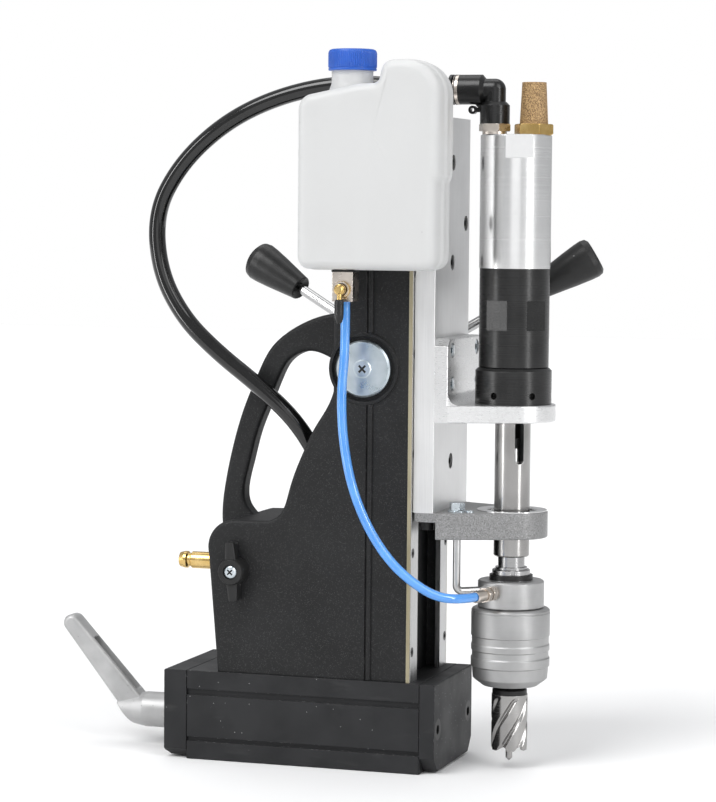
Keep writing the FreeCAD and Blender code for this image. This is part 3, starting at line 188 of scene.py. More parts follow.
# ---------------------------------------------------------------- material builder
class Nodes:
    """Short hand for building one node material."""

    def __init__(self, name):
        self.material = bpy.data.materials.new(name)
        self.material.use_nodes = True
        self.tree = self.material.node_tree
        self.shader = self.tree.nodes["Principled BSDF"]
        self.coords = self.add("TexCoord").outputs["Object"]
        self.heights = []

    def add(self, kind, **values):
        node = self.tree.nodes.new("ShaderNode" + kind)
        for key, value in values.items():
            if key in node.inputs:
                node.inputs[key].default_value = value
            else:
                setattr(node, key, value)
        return node

    def join(self, source, target):
        self.tree.links.new(source, target)

    def maths(self, operation, a, b=0.0, c=0.0):
        node = self.add("Math", operation=operation)
        for i, value in enumerate((a, b, c)):
            if isinstance(value, (int, float)):
                node.inputs[i].default_value = value
            else:
                self.join(value, node.inputs[i])
        return node.outputs[0]

    def mapped(self, scale, turn=(0, 0, 0)):
        node = self.add("Mapping")
        node.inputs["Scale"].default_value = scale
        node.inputs["Rotation"].default_value = turn
        self.join(self.coords, node.inputs["Vector"])
        return node.outputs[0]

    def noise(self, scale, detail=3.0, vector=None, rough=0.5):
        node = self.add("TexNoise", Scale=scale, Detail=detail, Roughness=rough)
        self.join(vector or self.coords, node.inputs["Vector"])
        return node.outputs["Fac"]

    def ramp(self, source, low, high, bottom=0.0, top=1.0):
        node = self.add("MapRange")
        node.inputs["From Min"].default_value = low
        node.inputs["From Max"].default_value = high
        node.inputs["To Min"].default_value = bottom
        node.inputs["To Max"].default_value = top
        self.join(source, node.inputs["Value"])
        return node.outputs["Result"]

    def blend(self, factor, a, b):
        node = self.add("Mix", data_type="RGBA")
        for socket, value in ((node.inputs[6], a), (node.inputs[7], b)):
            if isinstance(value, tuple):
                socket.default_value = (*value, 1)
            else:
                self.join(value, socket)
        self.join(factor, node.inputs[0])
        return node.outputs[2]

    def specks(self, scale, share, size):
        """Mask of scattered dots: share of the cells, size as a part of a cell."""
        cells = self.add("TexVoronoi", Scale=scale)
        self.join(self.coords, cells.inputs["Vector"])
        split = self.add("SeparateColor")
        self.join(cells.outputs["Color"], split.inputs[0])
        near = self.maths("LESS_THAN", cells.outputs["Distance"], size)
        chosen = self.maths("GREATER_THAN", split.outputs[0], 1 - share)
        return self.maths("MULTIPLY", near, chosen)

    def edge(self, radius, low=0.02, high=0.25):
        """Mask of the convex and concave edges within radius metres."""
        soft = self.add("Bevel", samples=4)
        soft.inputs["Radius"].default_value = radius
        plain = self.add("NewGeometry")
        dot = self.add("VectorMath", operation="DOT_PRODUCT")
        self.join(soft.outputs[0], dot.inputs[0])
        self.join(plain.outputs["Normal"], dot.inputs[1])
        return self.ramp(self.maths("SUBTRACT", 1.0, dot.outputs["Value"]), low, high)

    def height(self, source, millimetres):
        self.heights.append(self.maths("MULTIPLY", source, millimetres))

    def turned(self, axis_x, axis_y, along=2):
        """Coordinates that only change along the lathe axis and with the radius."""
        split = self.add("SeparateXYZ")
        self.join(self.coords, split.inputs[0])
        across = [i for i in range(3) if i != along]
        first = self.maths("SUBTRACT", split.outputs[across[0]], axis_x)
        second = self.maths("SUBTRACT", split.outputs[across[1]], axis_y)
        radius = self.maths("SQRT", self.maths("ADD", self.maths("MULTIPLY", first, first),
                                               self.maths("MULTIPLY", second, second)))
        merge = self.add("CombineXYZ")
        self.join(radius, merge.inputs[0])
        self.join(split.outputs[along], merge.inputs[2])
        return merge.outputs[0]

    def finish(self, colour, roughness, rounding=0.0, **sockets):
        for socket, value in (("Base Color", colour), ("Roughness", roughness)):
            if isinstance(value, tuple):
                self.shader.inputs[socket].default_value = (*value, 1)
            elif isinstance(value, (int, float)):
                self.shader.inputs[socket].default_value = value
            else:
                self.join(value, self.shader.inputs[socket])
        for name, value in sockets.items():
            self.shader.inputs[name.replace("_", " ")].default_value = value
        normal = None
        if rounding:
            soft = self.add("Bevel", samples=4)
            soft.inputs["Radius"].default_value = rounding
            normal = soft.outputs[0]
        if self.heights:
            total = self.heights[0]
            for other in self.heights[1:]:
                total = self.maths("ADD", total, other)
            bump = self.add("Bump")
            bump.inputs["Distance"].default_value = MM
            self.join(total, bump.inputs["Height"])
            if normal:
                self.join(normal, bump.inputs["Normal"])
            normal = bump.outputs[0]
        if normal:
            self.join(normal, self.shader.inputs["Normal"])
        return self.material


def grey(value, warm=0.0):
    return (value * (1 + warm), value, value * (1 - warm))


# ---------------------------------------------------------------- paints
def foot_paint():
    """Satin black-grey foot: faint rub marks, chips along the edges, stray white specks."""
    n = Nodes("foot_paint")
    cloud = n.ramp(n.noise(28, 5), 0.35, 0.65)
    base = n.blend(cloud, (0.014, 0.0143, 0.0155), (0.021, 0.0214, 0.023))
    rub = n.ramp(n.noise(90, 4, n.mapped((0.25, 0.25, 1))), 0.60, 0.78, 0.0, 0.35)
    base = n.blend(rub, base, grey(0.055))
    chips = n.maths("MULTIPLY", n.edge(0.0005, 0.03, 0.2), n.ramp(n.noise(240, 3), 0.60, 0.68))
    base = n.blend(chips, base, grey(0.32))
    base = n.blend(n.specks(420, 0.03, 0.15), base, grey(0.36))
    n.height(n.noise(900, 2), 0.010)
    n.height(n.noise(110, 3), 0.012)
    rough = n.ramp(cloud, 0, 1, 0.42, 0.55)
    return n.finish(base, rough, 0.0008, Specular_IOR_Level=0.26)


def stand_paint():
    """Black textured powder coat with fine grains, their glints painted in as lighter specks."""
    n = Nodes("stand_paint")
    grain = n.noise(1900, 2)
    cloud = n.ramp(n.noise(16, 4), 0.35, 0.65)
    base = n.blend(cloud, (0.0085, 0.0087, 0.0092), (0.0135, 0.0138, 0.0145))
    # painted highlight: lighter grey specks stand in for the glints on the grains
    base = n.blend(n.specks(1500, 0.20, 0.32), base, grey(0.085))
    # painted highlight along the edges, mixed with patchy wear: the paint is lightened there
    pale_edges = n.maths("MULTIPLY", n.edge(0.0008, 0.04, 0.3), n.ramp(n.noise(120, 4), 0.50, 0.68))
    base = n.blend(pale_edges, base, grey(0.13))
    n.height(grain, 0.06)
    n.height(n.noise(520, 3), 0.045)
    return n.finish(base, n.ramp(grain, 0.3, 0.7, 0.45, 0.62), 0.0015, Specular_IOR_Level=0.26)


def hammer_paint():
    """Grey hammertone enamel with dark pits and light flecks."""
    n = Nodes("hammer_paint")
    cells = n.add("TexVoronoi", Scale=950, feature="SMOOTH_F1")
    n.join(n.coords, cells.inputs["Vector"])
    dimples = cells.outputs["Distance"]
    base = n.blend(n.ramp(n.noise(1100, 3), 0.36, 0.64), grey(0.17), grey(0.33))
    base = n.blend(n.specks(1150, 0.24, 0.34), base, grey(0.075))
    base = n.blend(n.specks(1300, 0.14, 0.30), base, grey(0.55))
    n.height(dimples, 0.07)
    return n.finish(base, 0.40, 0.0015, Metallic=0.25)


def lever_paint():
    """Silver-grey enamel over a die casting."""
    n = Nodes("lever_paint")
    cloud = n.ramp(n.noise(40, 4), 0.35, 0.65)
    base = n.blend(cloud, grey(0.38), grey(0.46))
    # patchy wear rubs the paint lighter along the edges
    pale_edges = n.maths("MULTIPLY", n.edge(0.001, 0.03, 0.3), n.ramp(n.noise(160, 4), 0.48, 0.66))
    base = n.blend(pale_edges, base, grey(0.66))
    base = n.blend(n.specks(420, 0.03, 0.25), base, grey(0.28))
    n.height(n.noise(600, 3), 0.03)
    return n.finish(base, n.ramp(cloud, 0, 1, 0.34, 0.44), 0.0012, Metallic=0.35)


# ---------------------------------------------------------------- metals
def milled_aluminium(name, scale, low, high, rough, metallic=0.85):
    """Fine parallel cutter marks on aluminium, drawn out along the small value of scale."""
    n = Nodes(name)
    marks = n.noise(1.0, 4, n.mapped(scale), 0.65)
    cloud = n.noise(24, 4)
    mixed = n.maths("ADD", n.maths("MULTIPLY", marks, 0.6), n.maths("MULTIPLY", cloud, 0.4))
    base = n.blend(n.ramp(mixed, 0.35, 0.65), grey(low), grey(high))
    # painted highlight: the edges are lightened towards 0.92
    bright = n.edge(0.0005, 0.03, 0.25)
    base = n.blend(bright, base, grey(0.92))
    n.height(marks, 0.012)
    n.height(n.noise(500, 2), 0.004)
    return n.finish(base, n.ramp(marks, 0.3, 0.7, rough - 0.06, rough + 0.08), 0.0006, Metallic=metallic)


def turned_metal(name, axis, low, high, rough, pitch=2600, metallic=1.0, along=2, tint=0.0, depth=0.004,
                 edges=0.85, marks=0.15):
    """Lathe-turned metal: fine rings about the axis (two coordinates across it, metres)."""
    n = Nodes(name)
    rings = n.noise(pitch, 3, n.turned(axis[0], axis[1], along), 0.6)
    cloud = n.noise(30, 4)
    base = n.blend(n.ramp(cloud, 0.35, 0.65), grey(low, tint), grey(high, tint))
    base = n.blend(n.ramp(rings, 0.35, 0.75, 0, marks), base, grey(min(1, high * 1.25), tint))
    # painted highlight: the edges are lightened towards the tone given by edges
    base = n.blend(n.edge(0.0005, 0.03, 0.3), base, grey(edges, tint))
    n.height(rings, depth)
    return n.finish(base, n.ramp(rings, 0.3, 0.7, rough - 0.03, rough + 0.04), 0.0005, Metallic=metallic)


def plain_metal(name, dark, light, rough, metallic=1.0, grain=800, depth=0.006):
    """Ground, cast or plated metal with a cloudy tone and fine grain."""
    n = Nodes(name)
    cloud = n.ramp(n.noise(60, 5), 0.35, 0.65)
    base = n.blend(cloud, dark, light)
    n.height(n.noise(grain, 3), depth)
    return n.finish(base, n.ramp(cloud, 0, 1, rough - 0.04, rough + 0.06), 0.0005, Metallic=metallic)


def sintered_bronze():
    """Porous sintered bronze: tiny fused balls with painted shade in the gaps between them."""
    n = Nodes("sintered_bronze")
    cells = n.add("TexVoronoi", Scale=1250)
    n.join(n.coords, cells.inputs["Vector"])
    balls = cells.outputs["Distance"]
    split = n.add("SeparateColor")
    n.join(cells.outputs["Color"], split.inputs[0])
    base = n.blend(split.outputs[0], (0.33, 0.20, 0.085), (0.68, 0.46, 0.22))
    # painted shade: dark brown where the cells meet, in the gaps between the balls
    base = n.blend(n.ramp(balls, 0.46, 0.66), base, (0.13, 0.07, 0.025))
    n.height(n.maths("SUBTRACT", 1.0, balls), 0.14)
    return n.finish(base, 0.62, 0.0, Metallic=0.15)


def strip_bronze():
    """Dull bronze wear strip with a painted highlight along its edge."""
    n = Nodes("strip_bronze")
    cloud = n.ramp(n.noise(50, 4, n.mapped((1, 1, 0.2))), 0.35, 0.65)
    base = n.blend(cloud, (0.30, 0.26, 0.16), (0.40, 0.36, 0.25))
    # painted highlight: the edges are lightened to a cream tone
    base = n.blend(n.edge(0.0004, 0.03, 0.25), base, (0.75, 0.71, 0.62))
    n.height(n.noise(700, 2), 0.01)
    return n.finish(base, n.ramp(cloud, 0, 1, 0.38, 0.5), 0.0003, Metallic=0.5)


# ---------------------------------------------------------------- plastics
def moulded(name, dark, light, rough, grain=900, depth=0.01, specks=0.0, rounding=0.0008, **sockets):
    """Moulded plastic: slight mottling, fine grain and a little dust."""
    n = Nodes(name)
    cloud = n.ramp(n.noise(45, 4), 0.35, 0.65)
    base = n.blend(cloud, dark, light)
    if specks:
        base = n.blend(n.specks(300, specks, 0.2), base, grey(0.35))
    n.height(n.noise(grain, 2), depth)
    n.height(n.noise(70, 2), depth)
    return n.finish(base, n.ramp(cloud, 0, 1, rough - 0.04, rough + 0.05), rounding, **sockets)


def bottle_plastic():
    """Milky polyethylene: light scatters inside, with flow marks and a dull skin."""
    n = Nodes("bottle_plastic")
    flow = n.noise(9, 4, n.mapped((1, 1, 0.4)))
    base = n.blend(n.ramp(flow, 0.35, 0.65), (0.61, 0.613, 0.61), (0.645, 0.648, 0.645))
    base = n.blend(n.specks(120, 0.004, 0.10), base, grey(0.55))
    n.height(n.noise(60, 3), 0.05)
    n.height(n.noise(700, 2), 0.006)
    return n.finish(base, 0.42, 0.0, Subsurface_Weight=0.35, Subsurface_Radius=(0.012, 0.012, 0.012),
                    Subsurface_Scale=1.0, Specular_IOR_Level=0.35)


# lines of the drill (x, y) and of the feed shaft (x, z), in millimetres
DRILL_X = 188.0
DISC_X, DISC_Z = 61.7, 373.7
AXIS = (DRILL_X * MM, 0.0)
SHAFT = (DISC_X * MM, DISC_Z * MM)
materials = {
    "foot_black": foot_paint(),
    "stand_black": stand_paint(),
    "dark_steel": plain_metal("black_oxide", grey(0.018), grey(0.035), 0.40, 0.6),
    "ground_steel": milled_aluminium("ground_steel", (900, 900, 40), 0.42, 0.56, 0.30, 1.0),
    "milled_aluminium": milled_aluminium("milled_aluminium", (1400, 700, 14), 0.66, 0.76, 0.38),
    "turned_aluminium": turned_metal("turned_aluminium", AXIS, 0.74, 0.80, 0.24, 1800,
                                     depth=0.0008, marks=0.04),
    "black_anodised": turned_metal("black_anodised", AXIS, 0.020, 0.030, 0.28,
                                   metallic=0.55, edges=0.12, marks=0.05),
    "hammer_grey": hammer_paint(),
    "lever_silver": lever_paint(),
    "matt_grey_steel": turned_metal("matt_grey_steel", AXIS, 0.34, 0.42, 0.42, 1400, 0.85, edges=0.6),
    "zinc_plate": plain_metal("zinc_plate", (0.50, 0.56, 0.60), (0.66, 0.71, 0.74), 0.26),
    "nickel_plate": plain_metal("nickel_plate", grey(0.52, 0.10), grey(0.64, 0.10), 0.26),
    "chrome_rod": plain_metal("chrome_rod", grey(0.42), grey(0.50), 0.20, grain=300, depth=0.0004),
    "brass": plain_metal("brass", (0.62, 0.42, 0.15), (0.76, 0.55, 0.24), 0.24),
    "bronze_sinter": sintered_bronze(),
    "bronze_bush": plain_metal("bronze_bush", (0.50, 0.33, 0.16), (0.62, 0.43, 0.23), 0.3),
    "cast_iron_bore": plain_metal("cast_iron", grey(0.16), grey(0.22), 0.45),
    "magnet_grey": plain_metal("magnet", grey(0.10), grey(0.14), 0.5),
    "grip_black": moulded("grip_black", grey(0.012), grey(0.018), 0.36, 500, 0.03, 0.01,
                          Specular_IOR_Level=0.35),
    "black_polymer": moulded("black_polymer", grey(0.008), grey(0.012), 0.26, 700, 0.012,
                             Specular_IOR_Level=0.4),
    "knob_black": moulded("knob_black", grey(0.014), grey(0.020), 0.38, 600, 0.03, 0.01,
                          Specular_IOR_Level=0.3),
    "bottle_white": bottle_plastic(),
    "cap_blue": moulded("cap_blue", (0.010, 0.095, 0.48), (0.018, 0.125, 0.60), 0.34, 500, 0.01,
                        Subsurface_Weight=0.1, Subsurface_Radius=(0.002, 0.002, 0.004)),
    "air_hose_black": moulded("air_hose_black", grey(0.005), grey(0.007), 0.12, 300, 0.001, rounding=0,
                              Specular_IOR_Level=0.25, Coat_Weight=0.7, Coat_Roughness=0.04),
    "coolant_hose_blue": moulded("coolant_hose_blue", (0.07, 0.30, 0.78), (0.10, 0.36, 0.86), 0.12, 300,
                                 0.002, rounding=0, Coat_Weight=1.0, Coat_Roughness=0.04,
                                 Subsurface_Weight=0.2, Subsurface_Radius=(0.001, 0.002, 0.004)),
    "vane_fibre": moulded("vane_fibre", (0.20, 0.12, 0.06), (0.30, 0.19, 0.11), 0.6),
    "tool_steel": turned_metal("tool_steel", AXIS, 0.30, 0.40, 0.24, 1800, tint=0.02),
}
extra = {
    "feed_hub": turned_metal("hub_steel", SHAFT, 0.40, 0.50, 0.34, 1400, along=1, edges=0.7),
    "shaft_disc": plain_metal("disc_zinc", (0.46, 0.53, 0.57), (0.58, 0.64, 0.68), 0.30),
    "coolant_ring": turned_metal("ring_grey", AXIS, 0.36, 0.46, 0.40, 1400, 0.85, edges=0.7),
    "spindle": turned_metal("spindle_steel", AXIS, 0.27, 0.35, 0.22, 1500,
                            edges=0.6, marks=0.10, depth=0.002, tint=0.02),
    "arbor": turned_metal("arbor_steel", AXIS, 0.27, 0.36, 0.24, 1500, edges=0.6),
    "ring_nut": turned_metal("nut_steel", AXIS, 0.32, 0.42, 0.26, 1500),
    "guide_bush": turned_metal("bush_steel", AXIS, 0.60, 0.74, 0.20, 1500, depth=0.004),
    "side_strips": strip_bronze(),
    "motor_bracket": milled_aluminium("bracket_aluminium", (260, 260, 1500), 0.66, 0.80, 0.30, 0.95),
}


# degrees above which an edge stays sharp; lower where milled flats meet a round body at a shallow angle
SHARP, SHARP_WITH_FLATS = 28, {"motor_housing": 11, "gear_housing": 11}


def smooth_nodes():
    for name, obj in frame["nodes"].items():
        slot = next(s["material_slot"] for s in frame["record"]["subparts"] if s["node"] == name)
        obj.data.materials.clear()
        obj.data.materials.append(extra.get(name, materials[slot]))
        obj.data.shade_smooth()
        obj.data.set_sharp_from_angle(angle=math.radians(SHARP_WITH_FLATS.get(name, SHARP)))


smooth_nodes()


def shade_faces(name, material, chosen):
    """Give the node's faces whose centre (millimetres) passes the test another material."""
    obj = frame["nodes"][name]
    obj.data.materials.append(material)
    index = len(obj.data.materials) - 1
    for face in obj.data.polygons:
        centre = obj.matrix_world @ face.center / MM
        if chosen(*centre):
            face.material_index = index


KNOB_X, KNOB_Z = -62.7, 181.0
DISC_SOCKET_R, DISC_SOCKET_Y = 6.6, -67.1
SLOT_LOW, SLOT_HIGH, SLOT_INSIDE_R = 288, 324, 15.6
SEAT_LOW, SEAT_HIGH, SEAT_INSIDE_R = 177, 182.1, 15
KNOB_SCREW_R, KNOB_SCREW_Y = 6.35, -75.4
KNOB_CROSS_R, KNOB_CROSS_NEAR, KNOB_CROSS_FAR = 4.0, -78.3, -76
MOTOR_SCREW_X, MOTOR_SCREW_LOW, MOTOR_SCREW_HIGH = 120, 350, 400
LEVER_SCREW_X, LEVER_SCREW_Z, LEVER_SLOPE = -195.5, 27.0, (0.781, 0.624)
LEVER_HUB_X, LEVER_SCREW_R, LEVER_SCREW_SUNK = -190, 4, -1.0


def from_disc(x, z):
    return math.hypot(x - DISC_X, z - DISC_Z)


def from_knob(x, z):
    return math.hypot(x - KNOB_X, z - KNOB_Z)


def from_drill(x, y):
    return math.hypot(x - DRILL_X, y)


def in_lever_screw(x, y, z):
    """Faces of the dark screw that ends inside the lever's slanting hub."""
    depth = (x - LEVER_SCREW_X) * LEVER_SLOPE[0] + (z - LEVER_SCREW_Z) * LEVER_SLOPE[1]
    return x < LEVER_HUB_X and z < LEVER_SCREW_Z and abs(y) < LEVER_SCREW_R and depth < LEVER_SCREW_SUNK


def in_disc_socket(x, y, z):
    return from_disc(x, z) < DISC_SOCKET_R and y > DISC_SOCKET_Y


def in_spindle_slot(x, y, z):
    return SLOT_LOW < z < SLOT_HIGH and from_drill(x, y) < SLOT_INSIDE_R


def on_arbor_seat(x, y, z):
    return SEAT_LOW < z < SEAT_HIGH and from_drill(x, y) > SEAT_INSIDE_R


def on_knob_screw(x, y, z):
    return from_knob(x, z) < KNOB_SCREW_R and y < KNOB_SCREW_Y


def in_knob_cross(x, y, z):
    return from_knob(x, z) < KNOB_CROSS_R and KNOB_CROSS_NEAR < y < KNOB_CROSS_FAR


def on_motor_screws(x, y, z):
    return x > MOTOR_SCREW_X and MOTOR_SCREW_LOW < z < MOTOR_SCREW_HIGH


# painted shade: near-black put on the disc socket, the spindle slot's walls and the knob's cross recess
painted_recess_shade = moulded("painted_recess_shade", grey(0.006), grey(0.010), 0.6)
shade_faces("shaft_disc", painted_recess_shade, in_disc_socket)
shade_faces("spindle", painted_recess_shade, in_spindle_slot)
# the arbor seat under the ring nut gets dark steel: its own dark collar, darkened further as painted shade
# under the nut
shade_faces("arbor", materials["dark_steel"], on_arbor_seat)
shade_faces("valve_knob", materials["zinc_plate"], on_knob_screw)
shade_faces("valve_knob", painted_recess_shade, in_knob_cross)
shade_faces("slide_cap_screws", materials["zinc_plate"], on_motor_screws)
shade_faces("magnet_lever", materials["dark_steel"], in_lever_screw)


def dress(piece, slot, body=None, *nodes):
    """Material, slot, body and the CAD nodes that the piece stands for."""
    piece.data.materials.append(materials[slot])
    if body:
        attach(piece, body)
    if nodes:
        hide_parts(*nodes)
    return piece


dress(air_hose, "air_hose_black")
dress(coolant_hose, "coolant_hose_blue")

# ---------------------------------------------------------------- cutter
CUTTER_LOW, CUTTER_TOP, CUTTER_R = 17.6, 69.6, 16.85
CUTTER_BORE_R, CUTTER_BORE_TOP, RIM_RISE = 13.4, 60, 0.6
CUTTER_TWIST = 118
FLUTES, FLUTE_SHARE, FLUTE_DEPTH = 6, 0.40, 2.5
HOOK_SHARE, HOOK_HEIGHT = 0.62, 3.6


def ease(x):
    x = max(0.0, min(1.0, x))
    return x * x * (3 - 2 * x)


def make_cutter():
    """Annular cutter: broad lands, round-bottomed right-hand flutes and hooked teeth."""
    steps, rows = FLUTES * 40, 64
    twist = math.radians(CUTTER_TWIST) / (CUTTER_TOP - CUTTER_LOW)
    verts, faces = [], []
    for row in range(rows + 1):
        share = row / rows
        for k in range(steps):
            a = 2 * math.pi * k / steps
            cell = (k / steps * FLUTES) % 1.0
            hook = HOOK_HEIGHT * math.sin(math.pi * cell / HOOK_SHARE) if cell < HOOK_SHARE else 0.0
            lift = hook * (1 - share) ** 6
            z = CUTTER_LOW + share * (CUTTER_TOP - CUTTER_LOW) + lift
            turn = a + twist * (z - CUTTER_LOW)
            depth = 0.0
            if cell < FLUTE_SHARE:
                depth = FLUTE_DEPTH * math.sin(math.pi * ease(cell / FLUTE_SHARE)) ** 0.7
            fade = ease((CUTTER_TOP - 1.0 - z) / 5.0)
            r = CUTTER_R - depth * fade
            verts.append(Vector((AXIS[0] + r * MM * math.cos(turn), r * MM * math.sin(turn), z * MM)))
    inner = len(verts)
    for k in range(steps):
        low = verts[k]
        centre = Vector((AXIS[0], 0, 0))
        flat = Vector((low.x, low.y, 0)) - centre
        verts.append(centre + flat.normalized() * CUTTER_BORE_R * MM + Vector((0, 0, low.z + RIM_RISE * MM)))
    for k in range(steps):
        flat = Vector((verts[inner + k].x - AXIS[0], verts[inner + k].y, 0))
        verts.append(Vector((AXIS[0] + flat.x, flat.y, CUTTER_BORE_TOP * MM)))
    for row in range(rows):
        bridge(faces, row * steps, (row + 1) * steps, steps)
    bridge(faces, inner, 0, steps)
    bridge(faces, inner + steps, inner, steps)
    faces.append(tuple(range(rows * steps, (rows + 1) * steps)))
    faces.append(tuple(reversed(range(inner + steps, inner + 2 * steps))))
    return mesh_piece("cutter", verts, faces, 24)


dress(make_cutter(), "tool_steel", "drill_spindle", "core_drill")
COLLAR_LOW = 69.4
collar = lathe("cutter_collar", (AXIS[0], 0, COLLAR_LOW * MM), (0, 0, 1),
               [(16.2, 0), (16.25, 4.4), (13.2, 8.4), (9.5, 8.6), (9.5, 40)])
# the collar is dark steel, made dark also as painted shade in the gap below the chuck
dress(collar, "dark_steel", "drill_spindle")

# ---------------------------------------------------------------- coolant bottle
BOTTLE_LEFT, BOTTLE_RIGHT, BOTTLE_LOW, BOTTLE_CROWN = 13.3, 148.4, 465.0, 655.0
BOTTLE_NEAR, BOTTLE_BACK = -120.0, -64.9
NECK_X, BOTTLE_Y = 58.4, (BOTTLE_NEAR + BOTTLE_BACK) / 2
NECK_LOW, CAP_LOW = 626, 645
BOTTLE_EDGE = 8.0


def corner_arc(before, here, after, radius, count):
    """Points of the arc that rounds the corner at here."""
    into, out = (here - before).normalized(), (after - here).normalized()
    half = into.angle(out) / 2
    start, end = here - into * radius * math.tan(half), here + out * radius * math.tan(half)
    centre = here + (out - into).normalized() * radius / math.cos(half)
    first, last = start - centre, end - centre
    sweep = first.angle(last)
    points = []
    for i in range(count):
        t = i / (count - 1)
        turned = first * math.sin((1 - t) * sweep) + last * math.sin(t * sweep)
        points.append(centre + turned / math.sin(sweep))
    return points


# how far the lower body stands back, and each corner (x, z) of the side view with its radius
BOTTLE_STEP = 2.6
BOTTLE_CORNERS = [((BOTTLE_LEFT, BOTTLE_LOW), 12), ((BOTTLE_LEFT, 622), 15), ((70, 633.5), 38),
                  ((89, 634.5), 5), ((93.5, BOTTLE_CROWN), 13), ((136, BOTTLE_CROWN), 34),
                  ((BOTTLE_RIGHT, 630), 28),
                  ((BOTTLE_RIGHT, 550), 8), ((BOTTLE_RIGHT - BOTTLE_STEP, 545), 8),
                  ((BOTTLE_RIGHT - BOTTLE_STEP, BOTTLE_LOW), 13)]


def moved_in(before, here, after, inset):
    """Where a corner of a clockwise outline goes when both its sides move in by inset."""
    into, out = (here - before).normalized(), (after - here).normalized()
    first, second = Vector((into.y, -into.x)), Vector((out.y, -out.x))
    return here + (first + second) * inset / (1 + first.dot(second))


def bottle_outline(inset):
    """Side view of the bottle in millimetres, drawn in by inset."""
    places = [Vector(corner) for corner, radius in BOTTLE_CORNERS]
    count = len(places)
    inner = [moved_in(places[i - 1], places[i], places[(i + 1) % count], inset) for i in range(count)]
    points = []
    for i, (corner, radius) in enumerate(BOTTLE_CORNERS):
        before, here, after = inner[i - 1], inner[i], inner[(i + 1) % count]
        convex = (here - before).cross(after - here) < 0
        radius = max(radius - inset, 0.8) if convex else radius + inset
        points += corner_arc(before, here, after, radius, 12)
    return points


def make_bottle():
    """Blow-moulded body: soft edges, a raised parting band round the middle, slightly hollow faces."""
    half = (BOTTLE_BACK - BOTTLE_NEAR) / 2
    face = BOTTLE_EDGE + 1.0
    middle = Vector(((BOTTLE_LEFT + BOTTLE_RIGHT) / 2 - 6, 550))
    hollow = ((0.45, 0.9), (0.7, 0.7), (0.86, 0.4), (0.95, 0.15))
    rings = [(face, shrink, -half + sink) for shrink, sink in hollow]
    for k in range(9):
        a = math.radians(90 * k / 8)
        rings.append((1.0 + BOTTLE_EDGE * (1 - math.sin(a)), 1.0, -half + BOTTLE_EDGE * (1 - math.cos(a))))
    rings += [(0.9, 1.0, -10), (0.8, 1.0, -6.4), (0.1, 1.0, -5.6), (0.0, 1.0, 0)]
    rings += [(inset, shrink, -y) for inset, shrink, y in reversed(rings[:-1])]
    verts, faces = [], []
    count = len(bottle_outline(0))
    for inset, shrink, y in rings:
        for p in bottle_outline(inset):
            p = middle + (p - middle) * shrink
            verts.append(Vector((p.x, BOTTLE_Y + y, p.y)) * MM)
    for i in range(len(rings) - 1):
        bridge(faces, i * count, (i + 1) * count, count)
    faces.append(tuple(reversed(range(count))))
    faces.append(tuple(range((len(rings) - 1) * count, len(rings) * count)))
    return mesh_piece("bottle", verts, faces, 60)


dress(make_bottle(), "bottle_white", "stand", "coolant_bottle")
neck = lathe("bottle_neck", (NECK_X * MM, BOTTLE_Y * MM, NECK_LOW * MM), (0, 0, 1),
             [(21.5, 0), (20.0, 4.5), (19.2, 6.5), (18.8, 9), (18.8, 17), (18.8, 34)])
dress(neck, "bottle_white", "stand")


def make_cap():
    """Screw cap: fine ribs round the skirt, a soft top edge and a plain ring below, set off by a groove."""
    ribs, per, groove_depth = 72, 4, 0.6
    steps = ribs * per
    profile = [(20.6, 0.0, 0), (21.7, 0.2, 0), (21.9, 0.8, 0), (21.9, 2.0, 0), (21.4, 2.2, 0), (21.4, 2.6, 0),
               (21.9, 2.9, 1), (22.1, 4.0, 1), (22.1, 15.4, 1), (21.7, 17.2, 0.6), (20.8, 18.6, 0),
               (19.2, 19.3, 0), (16.0, 19.3, 0), (15.4, 19.0, 0), (6.0, 19.0, 0)]
    verts, faces = [], []
    for r, h, rib in profile:
        for k in range(steps):
            a = 2 * math.pi * k / steps
            reach = r - groove_depth * rib * (1 if k % per in (0, 1) else 0)
            x, y = NECK_X + reach * math.cos(a), BOTTLE_Y + reach * math.sin(a)
            verts.append(Vector((x, y, CAP_LOW + h)) * MM)
    for i in range(len(profile) - 1):
        bridge(faces, i * steps, (i + 1) * steps, steps)
    faces.append(tuple(reversed(range(steps))))
    faces.append(tuple(range((len(profile) - 1) * steps, len(profile) * steps)))
    return mesh_piece("screw_cap", verts, faces, 30)


dress(make_cap(), "cap_blue", "cap", "bottle_cap")

# ---------------------------------------------------------------- tap
TAP_X, TAP_Z = 53.9, 447.5
TAP_DISC_Y, TAP_BOSS_Y, TAP_ROD_Y = -103.6, -107.2, -112
TAP_SLEEVE_Z = 438.6


def small_box(name, low, high, edge):
    """Bevelled block between two corners in millimetres."""
    verts, faces = [], []
    (x0, y0, z0), (x1, y1, z1) = low, high
    for z, inset in ((z0, edge), (z0 + edge, 0), (z1 - edge, 0), (z1, edge)):
        cut = edge - inset * 0.5
        left, right, near, far = x0 + inset, x1 - inset, y0 + inset, y1 - inset
        verts += [Vector((x, y, z)) * MM for x, y in (
            (left + cut, near), (right - cut, near), (right, near + cut), (right, far - cut),
            (right - cut, far), (left + cut, far), (left, far - cut), (left, near + cut))]
    for i in range(3):
        bridge(faces, i * 8, (i + 1) * 8, 8)
    faces.append(tuple(reversed(range(8))))
    faces.append(tuple(range(24, 32)))
    return mesh_piece(name, verts, faces, 20)


